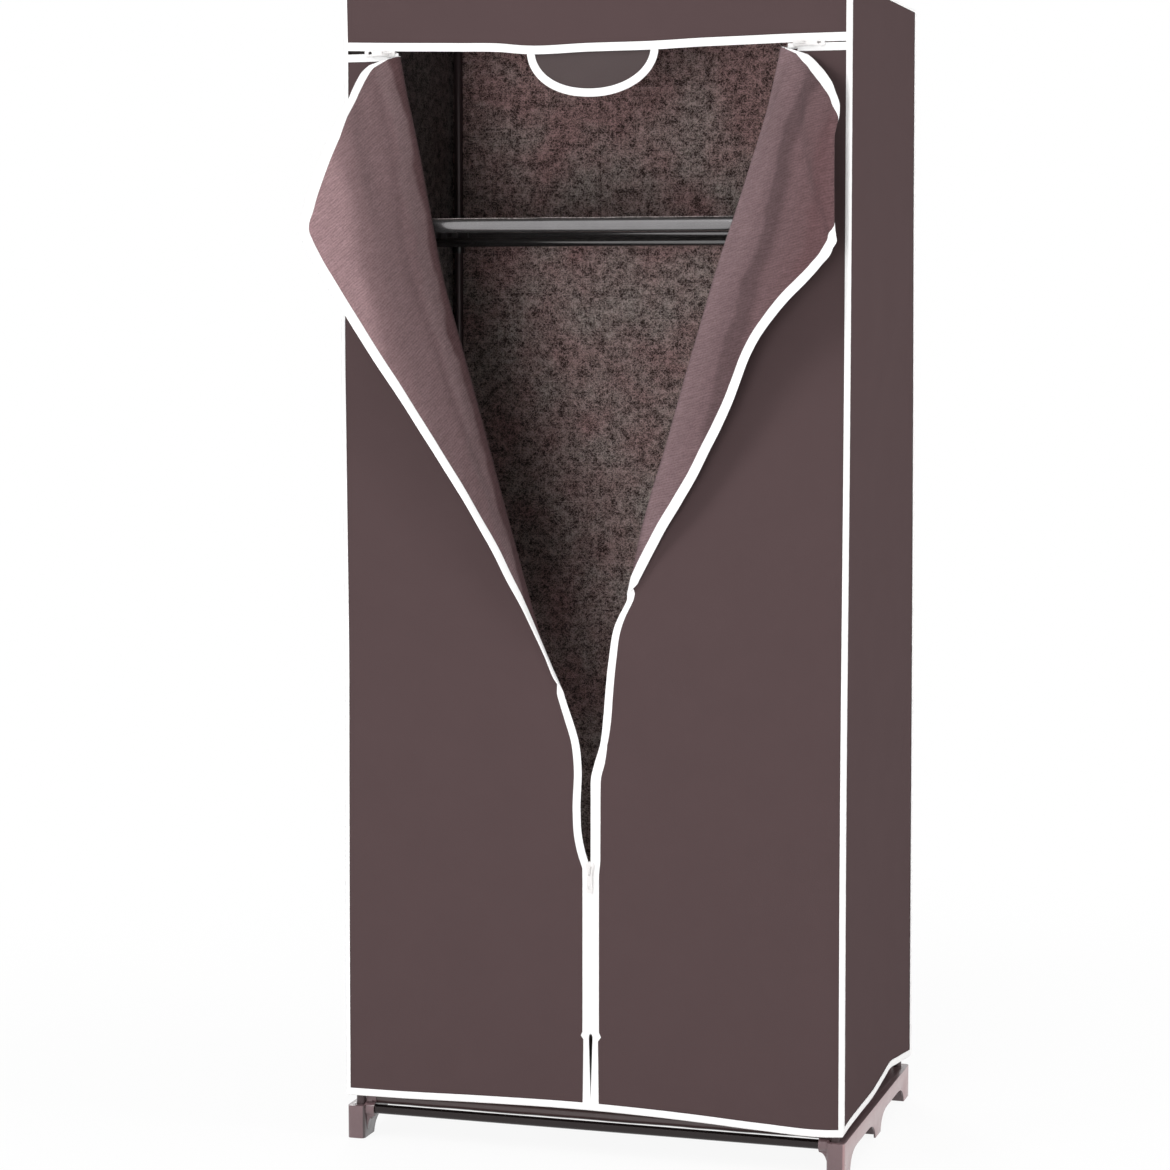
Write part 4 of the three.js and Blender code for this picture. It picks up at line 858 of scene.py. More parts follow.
# Each flap: the fold's ends (x, z), then tables. drift: share down the fold, and how far it bows
# outwards in mm. curl: share, and length rolled back in mm. edge: share, and the free edge's reach out
# over the door and forward of it, both in mm. gape: height, and half the gap below the fold, in metres.
# tapeShares: height, and the edge tape's width against its usual one. creases: place across in metres,
# depth in mm, width in metres and slope.
flapLooks = {
    "left": {
        "wall": "left", "side": -1, "top": (-0.268, 1.489), "foot": (-0.04, 0.629), "seed": 3,
        "drift": [(0, 5.5), (0.05, 8.8), (0.1, 10.4), (0.15, 12.6), (0.2, 15.6), (0.25, 18.6), (0.3, 21.6),
                  (0.35, 23), (0.4, 22.2), (0.45, 21), (0.5, 20), (0.6, 18.8), (0.7, 17.8), (0.8, 16.4),
                  (0.85, 15.9), (0.9, 14.6), (0.93, 12.6), (0.95, 10.4), (1, 3.2)],
        "curl": [(0, 0), (1, 0)],
        "edge": [(-0.009, 26, 14), (-0.006, 31.5, 17), (-0.003, 36, 20), (0, 40, 23), (0.004, 42.5, 28),
                 (0.012, 45.9, 36), (0.02, 46.8, 46.5), (0.03, 47.8, 58.5), (0.045, 51.5, 71.5),
                 (0.06, 59.5, 80.7), (0.075, 68.7, 88.4), (0.09, 77.2, 95.3), (0.105, 85, 101.9),
                 (0.12, 91.8, 108.7), (0.14, 100, 118), (0.16, 107.4, 127.3), (0.18, 114.8, 135.2),
                 (0.2, 121, 142.5), (0.218, 127.2, 147.5), (0.226, 128, 148.4), (0.24, 126, 147.3),
                 (0.26, 122, 144), (0.28, 117.1, 141.1), (0.3, 111.4, 138.2), (0.33, 103.3, 133.7),
                 (0.36, 95.6, 129.2), (0.4, 87, 122.5), (0.44, 77.7, 116), (0.48, 67.2, 109.7),
                 (0.52, 56.5, 104), (0.56, 46.6, 98.1), (0.6, 37.1, 91.6), (0.65, 25.8, 82.7),
                 (0.7, 15.8, 73.5), (0.75, 7.6, 62), (0.8, 2.8, 48), (0.85, -2, 32.5), (0.9, -4, 19),
                 (0.93, -3.6, 13.2), (0.96, -1.2, 9.5)],
        "gape": [(0.397, 0.0008), (0.4033, 0.0031), (0.4205, 0.0088), (0.443, 0.0135), (0.4754, 0.0154),
                 (0.5389, 0.014), (0.5726, 0.0178), (0.597, 0.0247), (0.629, 0.0315)],
        "tapeShares": [(0.06, 0.85), (0.39, 0.85), (0.42, 0.8), (0.6, 0.78), (0.637, 0.7), (0.658, 0.48),
                       (0.7, 0.48), (0.75, 0.75), (0.82, 0.95), (1.38, 1), (1.41, 0.72), (1.44, 0.72),
                       (1.465, 1), (1.6, 1)],
        "creases": [(0.03, 1.8, 0.008, 0), (0.062, 2.2, 0.02, 0.05), (0.105, -2.2, 0.022, 0)],
    },
    "right": {
        "wall": "right", "side": 1, "top": (0.265, 1.489), "foot": (0.05, 0.768), "seed": 8,
        "drift": [(0, 4.2), (0.05, 7.3), (0.1, 9.4), (0.15, 9.4), (0.2, 8.6), (0.25, 7.9), (0.3, 6.7),
                  (0.35, 5), (0.4, 4), (0.5, 4), (0.6, 4), (0.7, 5), (0.8, 4.2), (0.9, 5.4), (0.95, 7.8),
                  (1, 10)],
        "curl": [(0.03, 0), (0.038, 2), (0.045, 4.7), (0.052, 7.8), (0.06, 11.8), (0.068, 16.2),
                 (0.076, 21.2), (0.084, 26.5), (0.092, 32.3), (0.1, 35.9), (0.108, 39.2), (0.12, 41),
                 (0.13, 42), (0.21, 42), (0.228, 40.2), (0.236, 39.1), (0.244, 35.8), (0.252, 31.7),
                 (0.26, 26.3), (0.268, 20.3), (0.276, 13.4), (0.284, 8), (0.292, 3.5), (0.302, 0)],
        "edge": [(-0.009, 21.8, 12), (-0.006, 28.8, 16), (-0.003, 35.5, 20), (0, 41, 25), (0.003, 45.7, 30),
                 (0.006, 50, 33), (0.012, 59.4, 43), (0.02, 68.9, 54), (0.03, 78.6, 65), (0.038, 83, 71.5),
                 (0.045, 85.6, 77.1), (0.06, 89.3, 88), (0.076, 93.6, 96.2), (0.092, 95.4, 101.7),
                 (0.108, 96.4, 104.5), (0.124, 99.7, 107), (0.14, 103.8, 108.4), (0.16, 108.9, 109.9),
                 (0.18, 113.4, 107.7), (0.2, 118, 105.6), (0.22, 122.5, 103.1), (0.24, 127, 100.6),
                 (0.26, 132.1, 98.7), (0.276, 137.8, 97.2), (0.284, 141, 96.3), (0.3, 144.9, 94.1),
                 (0.33, 137.2, 89.5), (0.36, 125.9, 84.4), (0.4, 109.5, 77.3), (0.44, 95.9, 71.6),
                 (0.48, 84.5, 67.4), (0.52, 77.5, 62.7), (0.56, 74.2, 57.9), (0.6, 71, 52.9),
                 (0.65, 64, 46.6), (0.7, 55, 40.2), (0.75, 47.5, 34.8), (0.8, 37.3, 27.8), (0.85, 26.5, 19.4),
                 (0.9, 18.5, 12.5), (0.93, 13.6, 9.8), (0.96, 8.7, 8.1)],
        "gape": [(0.397, 0.0008), (0.46, 0.0008), (0.5035, 0.0008), (0.5213, 0.0012), (0.5397, 0.0055),
                 (0.5674, 0.0138), (0.6039, 0.0185), (0.6407, 0.0215), (0.6871, 0.0265), (0.7324, 0.0352),
                 (0.768, 0.052)],
        "tapeShares": [(0.06, 0.87), (0.39, 0.87), (0.41, 1.02), (0.545, 1.05), (0.57, 0.72), (0.6, 0.83),
                       (0.68, 0.78), (0.73, 0.7), (0.75, 0.6), (0.769, 0.58), (0.778, 0.8), (0.795, 0.95),
                       (0.82, 1), (1.44, 1), (1.47, 1.3), (1.6, 1.4)],
        "creases": [(0.022, 4.2, 0.013, 0.5), (0.052, -2.2, 0.016, 0.5), (0.105, 1.6, 0.02, 0.1)],
    },
}


# Sections square to the fold: an arc round the bend, a bowed straight run that leaves it on a
# tangent and meets the free edge, then an arc and a straight run that roll the edge back.
# Each point has how far out it lies, how far forward, and its lean.
def flapSections(out, forward, curl, bend):
    look = doorLook
    out, forward, curl, bend = out[:, None], forward[:, None], curl[:, None], bend[:, None]
    axis = bend + look["stand"]
    rise = forward - axis
    far = np.hypot(out, rise)
    lean = np.arctan2(rise, out) - np.arcsin(np.minimum(bend / far, 1))
    run = np.sqrt(np.maximum(far ** 2 - bend ** 2, 0))
    angle = (math.pi - lean) * np.linspace(0, 1, look["bendSteps"] + 1)
    arc = [-bend * np.sin(angle), axis - bend * np.cos(angle), math.pi - angle]
    share = np.linspace(0, 1, look["panelSteps"] + 1)[1:]
    bow = run * look["bow"] * np.sin(math.pi * share)
    tilt = lean + math.pi * look["bow"] * np.cos(math.pi * share)
    panel = [arc[0][:, -1:] + run * share * np.cos(lean) - bow * np.sin(lean),
             arc[1][:, -1:] + run * share * np.sin(lean) + bow * np.cos(lean), tilt]
    length = curl * np.linspace(0, 1, look["curlSteps"] + 1)[1:]
    bent = np.minimum(length, look["curlRadius"] * math.pi)
    last = panel[2][:, -1:]
    turned = last - bent / look["curlRadius"]
    sideways = np.sin(last) - np.sin(turned)
    onward = np.cos(turned) - np.cos(last)
    rolled = [panel[0][:, -1:] + look["curlRadius"] * sideways + (length - bent) * np.cos(turned),
              panel[1][:, -1:] + look["curlRadius"] * onward + (length - bent) * np.sin(turned), turned]
    return np.stack([np.concatenate(part, axis=1) for part in zip(arc, panel, rolled)], axis=-1)


# Rows across the door and its folded-out part, from the door's top edge to the fold's foot.
# The free edge first runs round the bend at the top, and back round it at the foot, where the
# bend tightens. The drift table bows the whole fold away from the middle.
def foldRows(shape):
    look = doorLook
    side = shape["side"]
    top, foot = np.array(shape["top"]), np.array(shape["foot"])
    length = np.linalg.norm(foot - top)
    down = (foot - top) / length
    outward = side * np.array([-down[1], down[0]])
    body = evenCurve(np.array(shape["edge"]) * [length, mm, mm], look["foldRows"])
    start = (doorTopZ - look["topDip"] - top[1]) / down[1]
    body = body[body[:, 0] > start + mm]
    cutIn = np.linspace(0, 1, look["endRows"] + 1)[:-1]
    head, tail = np.repeat(body[:1], look["endRows"], axis=0), np.repeat(body[-1:], look["endRows"], axis=0)
    head[:, 0] = start + (body[0, 0] - start) * cutIn
    tail[:, 0] = body[-1, 0] + (length - body[-1, 0]) * (1 - cutIn[::-1])
    rows = np.concatenate([head, body, tail])
    slim = look["slimEnd"]
    ends = slim + (1 - slim) * easeIn(cutIn)
    cut = np.concatenate([ends, np.ones(len(body)), ends[::-1]])
    share = rows[:, 0] / length
    curls, drifts = np.array(shape["curl"]), np.array(shape["drift"])
    curl = np.interp(share, curls[:, 0], curls[:, 1]) * mm
    tight = easeIn((share - look["tightFrom"]) / look["tightOver"])
    bend = look["bend"] + (look["bendEnd"] - look["bend"]) * tight
    drift = hermite(drifts[:, 0], drifts[:, 1], share) * mm - (look["bend"] - bend)
    path = flapSections(rows[:, 1], rows[:, 2], curl, bend)
    runs = runsOf(path[..., :2])
    end = runs[:, -1:] * cut[:, None]
    bendEnd = np.minimum(runs[:, look["bendSteps"]][:, None], end * 0.5)
    rolls = curls[:, 1].max() > 0
    lead = np.minimum(curl[:, None] + look["curlLead"], (end - bendEnd) * 0.5) * rolls
    steps = [np.linspace(0, 1, look[key] + 1)[1:] for key in ("bendSteps", "panelSteps", "curlSteps")]
    wanted = [end * 0, bendEnd * steps[0], bendEnd + (end - lead - bendEnd) * steps[1]]
    if rolls:
        wanted.append(end - lead + lead * steps[2])
    wanted = np.concatenate(wanted, axis=1)
    flap = alongRows(path, runs, wanted)
    foldX = top[0] + down[0] * rows[:, 0] + outward[0] * drift
    foldZ = top[1] + down[1] * rows[:, 0] + outward[1] * drift
    out, forward, lean = flap[..., 0], flap[..., 1], flap[..., 2]
    sway = look["flapWave"] * softWaves(rows[:, :1], wanted * look["flapStretch"], shape["seed"],
                                        *look["flapWaves"])
    (headAt, headOver), (footAt, footOver) = look["creaseHead"], look["creaseFoot"]
    headFade = easeIn((share[:, None] + headAt) / headOver)
    footFade = easeIn((footAt - share[:, None]) / footOver)
    waves = softWaves(rows[:, :1], rows[:, :1] * 0, shape["seed"] + 5, *look["creaseWaves"])
    stray = look["creaseStray"] * waves
    for middle, deep, wide, slope in shape["creases"]:
        bell = np.exp(-((wanted - bendEnd - middle - slope * share[:, None] - stray) / wide) ** 2)
        sway = sway - deep * mm * bell * headFade * footFade
    calm = look["flapCalm"]
    sway = sway * easeIn((wanted - bendEnd) / calm) * (1 - easeIn((wanted - end + lead) / calm) * (lead > 0))
    out, forward = out - sway * np.sin(lean), forward + sway * np.cos(lean)
    flapPoints = np.stack([foldX[:, None] + outward[0] * out, frontY - forward,
                           foldZ[:, None] + outward[1] * out], axis=-1)
    flapInward = np.stack([-outward[0] * np.sin(lean), -np.cos(lean), -outward[1] * np.sin(lean)], axis=-1)
    toFold = np.abs(foldX[:, None] - cornerAt(shape["wall"], "front", foldZ[:, None]))
    toFold = toFold * (1 - np.linspace(0, 1, look["columns"]))
    dip = np.concatenate([1 - cutIn, np.zeros(len(rows) - len(cutIn))])[:, None]
    heights = foldZ[:, None] + look["topDip"] * dip * easeIn(toFold / look["dipReach"])
    doorPoints, doorRun = doorRows(shape, foldX, heights, np.ones(len(rows)))
    inward = np.zeros_like(doorPoints)
    inward[..., 1] = 1
    points = np.concatenate([doorPoints, flapPoints[:, 1:]], axis=1)
    inward = np.concatenate([inward, flapInward[:, 1:]], axis=1)
    across = side * np.concatenate([doorRun, wanted[:, 1:]], axis=1)
    return points, inward, across


# Door cloth from the box edge to its inner edge: flat with slow waves, rising to the bend's start.
def doorRows(shape, edgeX, heights, lift):
    look = doorLook
    outer = cornerAt(shape["wall"], "front", heights)
    share = np.linspace(0, 1, look["columns"])
    x = outer + (edgeX[:, None] - outer) * share
    toEdge = np.abs(x - edgeX[:, None])
    bedding = look["stand"] + clothThick / 2
    rise = bedding * lift[:, None] * easeIn(1 - toEdge / look["riseReach"])
    calm = easeIn(toEdge / look["calmFold"]) * easeIn(np.abs(x - outer) / look["calmSide"])
    drag = look["wave"] * softWaves(x, heights * look["waveUp"], shape["seed"] + 20, *look["waves"]) * calm
    y = frontY + clothThick / 2 - rise - drag
    return np.stack([x, y, heights], axis=-1), -toEdge


# Rows below the fold's foot: the gaping edge, the closed zip and the slit that runs out at the hem.
def lowRows(shape, startX, startZ):
    look = doorLook
    share = np.linspace(0, 1, look["lowRows"] + 1)[1:]
    flat = startZ + (hemZ - startZ) * share
    gape = np.array(shape["gape"])
    gape[-1] = startZ, abs(startX)
    edge = hermite(gape[:, 0], gape[:, 1], np.maximum(flat, gape[0, 0]))
    slit = np.array([(hemZ, look["slitHalf"]), (look["slitFoot"], look["slitHalf"]),
                     (look["zipStop"], look["slitFlare"]),
                     (look["zipStop"] + look["slitStep"], look["slitHalf"])])
    below = np.interp(flat, slit[:, 0], slit[:, 1])
    edge = shape["side"] * np.where(flat > gape[0, 0], np.maximum(edge, look["slitHalf"]), below)
    outer = cornerAt(shape["wall"], "front", flat[:, None])
    x = outer + (edge[:, None] - outer) * np.linspace(0, 1, look["columns"])
    heights = startZ + (hemAt("front", x.ravel()).reshape(x.shape) - startZ) * share[:, None]
    lift = easeIn(1 - (startZ - flat) / look["lowRise"])
    points, run = doorRows(shape, edge, heights, lift)
    inward = np.zeros_like(points)
    inward[..., 1] = 1
    return points, inward, shape["side"] * run


# Tape round the free edge: each section lies back along its row by as much as gives the tape
# its true width, whatever the angle between row and edge.
def edgeTape(strips, section, spread, widths):
    look = doorLook
    edge = np.concatenate([points[:, -1] for points, inward in strips])
    way = np.concatenate([points[:, -1] - points[:, -4] for points, inward in strips])
    way /= np.linalg.norm(way, axis=1, keepdims=True)
    along = np.gradient(edge, axis=0)
    along /= np.maximum(np.linalg.norm(along, axis=1, keepdims=True), 1e-9)
    slant = np.linalg.norm(np.cross(along, way), axis=1)
    stretch = np.minimum(1 / np.maximum(slant, 0.05), look["tapeFan"])
    stretch = np.convolve(np.pad(stretch, 3, mode="edge"), np.ones(7) / 7, "valid")   # seven rows' mean
    slit = np.interp(edge[:, 2], [look["slitFoot"], look["zipStop"], look["zipStop"] + look["slitStep"]],
                     [0, look["slitFlare"], 0]) / look["tapeWide"]
    stretch = stretch * (np.interp(edge[:, 2], *np.array(widths).T) - slit * (edge[:, 2] > look["slitFoot"]))
    rings, start = [], 0
    for points, inward in strips:
        runs = runsOf(points)
        back = section[:, 0] * stretch[start:start + len(points), None]
        wanted = runs[:, -1:] - np.maximum(back, 0)
        base = alongRows(points, runs, wanted)
        lean = alongRows(inward, runs, wanted)
        lean /= np.linalg.norm(lean, axis=2, keepdims=True)
        past = np.maximum(-section[:, 0], 0)[None, :, None]
        rings.append(base + lean * section[:, 1][None, :, None] + way[start:start + len(points), None] * past)
        start += len(points)
    rings = np.concatenate(rings)
    reach = np.concatenate([[0], np.cumsum(np.linalg.norm(np.diff(edge, axis=0), axis=1))])
    return sweptPart(rings, reach, spread)


# One door in its folded state: the rows round the fold, the rows below it and the edge tape.
# Its soft rows go from the frame to the flap's body between two planes in front of the door.
def makeDoor(name):
    look, shape = doorLook, flapLooks[name]
    points, inward, across = foldRows(shape)
    foldFoot = points[-1, look["columns"] - 1]
    lowPoints, lowInward, lowAcross = lowRows(shape, foldFoot[0], foldFoot[2])
    rows, wide = points.shape[:2]
    columns = look["columns"]
    index = np.arange(rows * wide).reshape(rows, wide)
    lowIndex = rows * wide + np.arange(len(lowPoints) * columns).reshape(-1, columns)
    quads = np.concatenate([gridQuads(index), gridQuads(np.concatenate([index[-1:, :columns], lowIndex]))])
    heights = points[:, :1, 2] * np.ones(wide)
    uv = np.stack([np.concatenate([across.ravel(), lowAcross.ravel()]),
                   np.concatenate([heights.ravel(), lowPoints[..., 2].ravel()])], axis=1)
    middle = np.concatenate([points.reshape(-1, 3), lowPoints.reshape(-1, 3)])
    towards = np.concatenate([inward.reshape(-1, 3), lowInward.reshape(-1, 3)])
    door = makeSheet(f"door_cloth_{name}", middle, towards, quads, uv, finishes["cover"], finishes["lining"])
    section, spread = flatSection(look["tapeWide"], look["tapeThick"], 6, look["tapeIn"])
    section[:, 0] -= look["tapeOut"]   # laps past the cloth's edge
    strip = edgeTape([(points, inward), (lowPoints, lowInward)], section, spread, shape["tapeShares"])
    tape = joinParts(f"door_tape_{name}", [strip], [finishes["tape"]])
    for piece in (door, tape):
        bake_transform(piece)
    dress(door, "cover_cloth", f"door_{name}", f"flap_{name}", body=None)
    dress(tape, "binding_tape", f"door_binding_{name}", f"flap_binding_{name}", body=None)


for name in flapLooks:
    makeDoor(name)
print("doors and their edge tapes made")


# waves: how deep each panel's waves are, and their seed. rest: how far in from its plane the cloth lies
# between its waves, against their depth. sizes: each panel's flat width and height in metres.
panelLook = {"gap": 0.0004, "calm": 0.06, "rest": 0.4, "steps": (56, 72), "headerSteps": (72, 14),
             "waves": {"top": (0.004, 4), "back": (0.003, 5), "left": (0.003, 6), "right": (0.002, 7),
                       "header": (0.0012, 9)},
             "sizes": {"top": (0.70, 0.45), "back": (0.70, 1.52), "left": (0.45, 1.52), "right": (0.45, 1.52),
                       "header": (0.70, 0.077)}}
width, depth = rightX - leftX, backY - frontY
wallHigh = topZ - clothThick - panelLook["gap"] - hemZ


def shiftAt(side, wall, heights):   # how far an upright edge hangs from its plane
    return cornerAt(side, wall, heights) - (rightX if side == "right" else leftX)


# A panel between four edges: corner + u * wide + v * high, with slow waves that calm down towards the
# edges. low gives the height of its lower edge, and ends name the upright edges at its two sides.
def makePanel(name, corner, wide, high, inward, uvShape, inside, low=None, ends=None):
    wave, seed = panelLook["waves"][name]
    columns, rows = panelLook["headerSteps" if name == "header" else "steps"]
    u, v = np.meshgrid(np.linspace(0, 1, columns), np.linspace(0, 1, rows))
    points = vec(*corner) + u[..., None] * vec(*wide) + v[..., None] * vec(*high)
    if low is not None:
        drop = low(points[0]) - points[0, :, 2]
        points[..., 2] += drop * (1 - v)
    across, up = u * uvShape[0], v * uvShape[1]
    if ends is not None:
        first, last = (shiftAt(*end, points[..., 2]) for end in ends)
        points[..., 0] += first * (1 - u) + last * u
    toSide, toEnd = np.minimum(u, 1 - u) * uvShape[0], np.minimum(v, 1 - v) * uvShape[1]
    calm = easeIn(toSide / panelLook["calm"]) * easeIn(toEnd / panelLook["calm"])
    inward = vec(*inward)
    deep = clothThick / 2 + wave * (panelLook["rest"] + softWaves(across, up, seed)) * calm
    points = points + inward * deep[..., None]
    index = np.arange(u.size).reshape(u.shape)
    towards = np.ones((u.size, 1)) * inward
    uv = np.stack([across.ravel(), up.ravel()], axis=1)
    return makeSheet(f"{name}_cloth", points.reshape(-1, 3), towards, gridQuads(index), uv, finishes["cover"],
                     finishes[inside])


# The cover's flat panels, each from a corner, a width and a height. The side walls stand inside the
# front and the back, and all walls stop below the top.
def makePanels():
    gap, sizes = panelLook["gap"] + clothThick, panelLook["sizes"]
    sideDepth = depth - 2 * gap
    made = {
        "top": makePanel("top", (leftX, frontY, topZ), (width, 0, 0), (0, depth, 0), (0, 0, -1),
                         (width, depth), "side"),
        "back": makePanel("back", (rightX, backY, hemZ), (-width, 0, 0), (0, 0, wallHigh), (0, -1, 0),
                          (width, wallHigh), "wall", lambda row: hemAt("back", row[:, 0]),
                          (("right", "back"), ("left", "back"))),
        "left": makePanel("left", (leftX, backY - gap, hemZ), (0, -sideDepth, 0), (0, 0, wallHigh), (1, 0, 0),
                          (sideDepth, wallHigh), "side", lambda row: hemAt("left", row[:, 1] - middleY),
                          (("left", "back"), ("left", "front"))),
        "right": makePanel("right", (rightX, frontY + gap, hemZ), (0, sideDepth, 0), (0, 0, wallHigh),
                           (-1, 0, 0), (sideDepth, wallHigh), "side",
                           lambda row: hemAt("right", row[:, 1] - middleY),
                           (("right", "front"), ("right", "back"))),
        "header": makePanel("header", (leftX, frontY, headerZ), (width, 0, 0),
                            (0, 0, topZ - clothThick - panelLook["gap"] - headerZ), (0, 1, 0),
                            (width, topZ - headerZ), "side", lambda row: headerAt(row[:, 0]),
                            (("left", "front"), ("right", "front"))),
    }
    for key, piece in made.items():
        dress(piece, "cover_cloth", f"cover_{key}")


makePanels()
print("cover panels made")


# Widths of the tapes' legs on each face, then how they are rounded, how thick they are, how far off
# the cloth they lie, the step along them, the tape above the doors, and how much their thickness swells.
tapeLook = {"front": 0.0042, "side": 0.009, "brow": 0.0015, "lid": 0.009, "round": 0.0022, "thick": 0.0013,
            "gap": 0.0003, "hem": 0.0094, "hemGap": 0.0001, "hemLow": 0.0006, "step": 0.004,
            "postLow": 0.002, "doorTop": 0.0092, "doorTopShort": 0.003, "doorTopIn": 0.004,
            "doorTopStand": 0.0009, "pucker": 0.05}


# Middle line of a band round a box edge: a straight leg, a quarter round and a straight leg.
# The box lies towards minus on both axes. The first leg lies on the face that the first axis leaves.
def angleSection(first, second):
    out, turn = tapeLook["gap"] + tapeLook["thick"] / 2, tapeLook["round"]
    arc = np.radians(np.linspace(0, 90, 5))
    line = [(out, -first), (out, (out - turn - first) / 2)]
    line += [(out - turn + turn * math.cos(a), out - turn + turn * math.sin(a)) for a in arc]
    line += [((out - turn - second) / 2, out), (-second, out)]
    return bandSection(line, tapeLook["thick"])


# Points from start to end, a tape step apart.
def straight(start, end):
    start, end = np.array(start, float), np.array(end, float)
    count = max(int(np.linalg.norm(end - start) / tapeLook["step"]), 2)
    return start + (end - start) * np.linspace(0, 1, count + 1)[:, None]


def fixed(path, direction):   # the same direction at each point of a path
    return np.ones((len(path), 1)) * np.array(direction, float)


# Middle line of a band folded up over an edge: up the front, round below it and up behind.
def hemSection():
    half, high = clothThick / 2 + tapeLook["thick"] / 2 + tapeLook["hemGap"], tapeLook["hem"]
    arc = np.radians(np.linspace(180, 360, 7))
    line = [(-half, high), (-half, high * 0.55), (-half, half * 1.4)]
    line += [(half * math.cos(a), half * 1.2 + half * math.sin(a)) for a in arc[1:-1]]
    line += [(half, half * 1.4), (half, high * 0.55), (half, high)]
    return bandSection(line, tapeLook["thick"])


# Angle tapes on the uprights and the top's edges, folded tape on the hem, flat tape above each door.
def makeCoverTapes():
    section, spread = angleSection(tapeLook["side"], tapeLook["front"])
    pucker = tapeLook["pucker"]
    parts = []
    for x, outX, side in ((leftX, -1, "left"), (rightX, 1, "right")):
        for y, outY, wall in ((frontY, -1, "front"), (backY, 1, "back")):
            low = hemAt(wall, np.array([x]))[0] + tapeLook["postLow"]
            path = straight((x, y, low), (x, y, topZ))
            path[:, 0] = cornerAt(side, wall, path[:, 2])
            parts.append(ribbonPart(path, fixed(path, (outX, 0, 0)), fixed(path, (0, outY, 0)), section,
                                    spread, pucker, 11))
    section, spread = angleSection(tapeLook["front"], tapeLook["lid"])
    for y, outY in ((frontY, -1), (backY, 1)):
        path = straight((leftX, y, topZ), (rightX, y, topZ))
        parts.append(ribbonPart(path, fixed(path, (0, outY, 0)), fixed(path, (0, 0, 1)), section, spread,
                                pucker, 12))
    section, spread = angleSection(tapeLook["brow"], tapeLook["lid"])
    for x, outX in ((leftX, -1), (rightX, 1)):
        path = straight((x, frontY, topZ), (x, backY, topZ))
        parts.append(ribbonPart(path, fixed(path, (outX, 0, 0)), fixed(path, (0, 0, 1)), section, spread,
                                pucker, 13))
    hem, hemSpread = hemSection()
    inset = clothThick / 2
    walls = {   # start, end, inward, and the upright edges that each hem runs between
        "front": ((leftX, frontY + inset, 0), (rightX, frontY + inset, 0), (0, 1, 0),
                  ("left", "front"), ("right", "front")),
        "back": ((leftX, backY - inset, 0), (rightX, backY - inset, 0), (0, -1, 0),
                 ("left", "back"), ("right", "back")),
        "left": ((leftX + inset, frontY, 0), (leftX + inset, backY, 0), (1, 0, 0),
                 ("left", "front"), ("left", "back")),
        "right": ((rightX - inset, frontY, 0), (rightX - inset, backY, 0), (-1, 0, 0),
                  ("right", "front"), ("right", "back")),
    }
    for wall, (start, end, inward, first, last) in walls.items():
        path = straight(start, end)
        share = np.linspace(0, 1, len(path))
        path[:, 0] += shiftAt(*first, hemZ) * (1 - share)
        path[:, 0] += shiftAt(*last, hemZ) * share
        along = path[:, 0] if wall in ("front", "back") else path[:, 1] - middleY
        path[:, 2] = hemAt(wall, along) - tapeLook["hemLow"]
        parts.append(ribbonPart(path, fixed(path, inward), fixed(path, (0, 0, 1)), hem, hemSpread, 0.0, 14))
    for shape in flapLooks.values():
        side = shape["side"]
        x = (rightX if side > 0 else leftX) - side * tapeLook["doorTopIn"]
        inner = shape["top"][0] + side * tapeLook["doorTopShort"]
        y = frontY - tapeLook["doorTopStand"]
        flat, flatSpread = flatSection(tapeLook["doorTop"], tapeLook["thick"], 5)
        path = straight((x, y, doorTopZ), (inner, y, doorTopZ))
        parts.append(ribbonPart(path, fixed(path, (0, 0, -1)), fixed(path, (0, -1, 0)), flat, flatSpread,
                                pucker, 15))
    dress(joinParts("edge_tapes", parts, [finishes["tape"]]), "binding_tape", "cover_binding")


# Half the tab's width and its drop, the ring's tape and how far the cloth is sewn above the header's
# edge. The cloth is smaller than the ring by inset, and lies behind it by behind.
tabLook = {"middle": 0.002, "half": 0.090, "drop": 0.061, "tape": 0.0088, "tapeThick": 0.0022, "pucker": 0.08,
           "ringSteps": 96, "ringUp": 0.001, "ringIn": 0.0006, "sewn": 0.012, "inset": 0.005,
           "behind": 0.0021, "sides": 0.997, "thick": 0.0009, "wave": 0.0005, "waves": (0.12, 0.03),
           "rows": 22, "columns": 48}


# The header's tape follows its dipping edge. The tab's ring follows half an ellipse below it.
def makeHeaderTapes():
    look, tab = headerLook, tabLook
    section, spread = flatSection(look["tape"], look["thick"], 6)
    inset, y = tapeLook["front"] + tapeLook["gap"], frontY - look["stand"]
    path = straight((leftX + inset - look["overlap"], y, headerZ),
                    (rightX - inset + look["overlap"], y, headerZ))
    path[:, 2] = headerAt(path[:, 0]) - look["lap"]
    parts = [ribbonPart(path, fixed(path, (0, 0, 1)), fixed(path, (0, -1, 0)), section, spread,
                        tapeLook["pucker"], 16)]
    turn = np.radians(np.linspace(180, 360, tab["ringSteps"]))
    outer = np.stack([tab["half"] * np.cos(turn), tab["drop"] * np.sin(turn)], axis=1)
    way = np.gradient(outer, axis=0)
    way /= np.linalg.norm(way, axis=1, keepdims=True)
    toMiddle = np.stack([-way[:, 1], way[:, 0]], axis=1)
    ring, ringSpread = flatSection(tab["tape"], tab["tapeThick"], 6)
    x = outer[:, 0] + tab["middle"]
    path = np.stack([x, np.full(len(x), frontY + tab["ringIn"]), headerAt(x) + tab["ringUp"] + outer[:, 1]],
                    axis=1)
    inwards = np.stack([toMiddle[:, 0], toMiddle[:, 0] * 0, toMiddle[:, 1]], axis=1)
    parts.append(ribbonPart(path, inwards, fixed(path, (0, -1, 0)), ring, ringSpread, tab["pucker"], 17))
    dress(joinParts("header_tapes", parts, [finishes["tape"]]), "binding_tape", "header_binding")


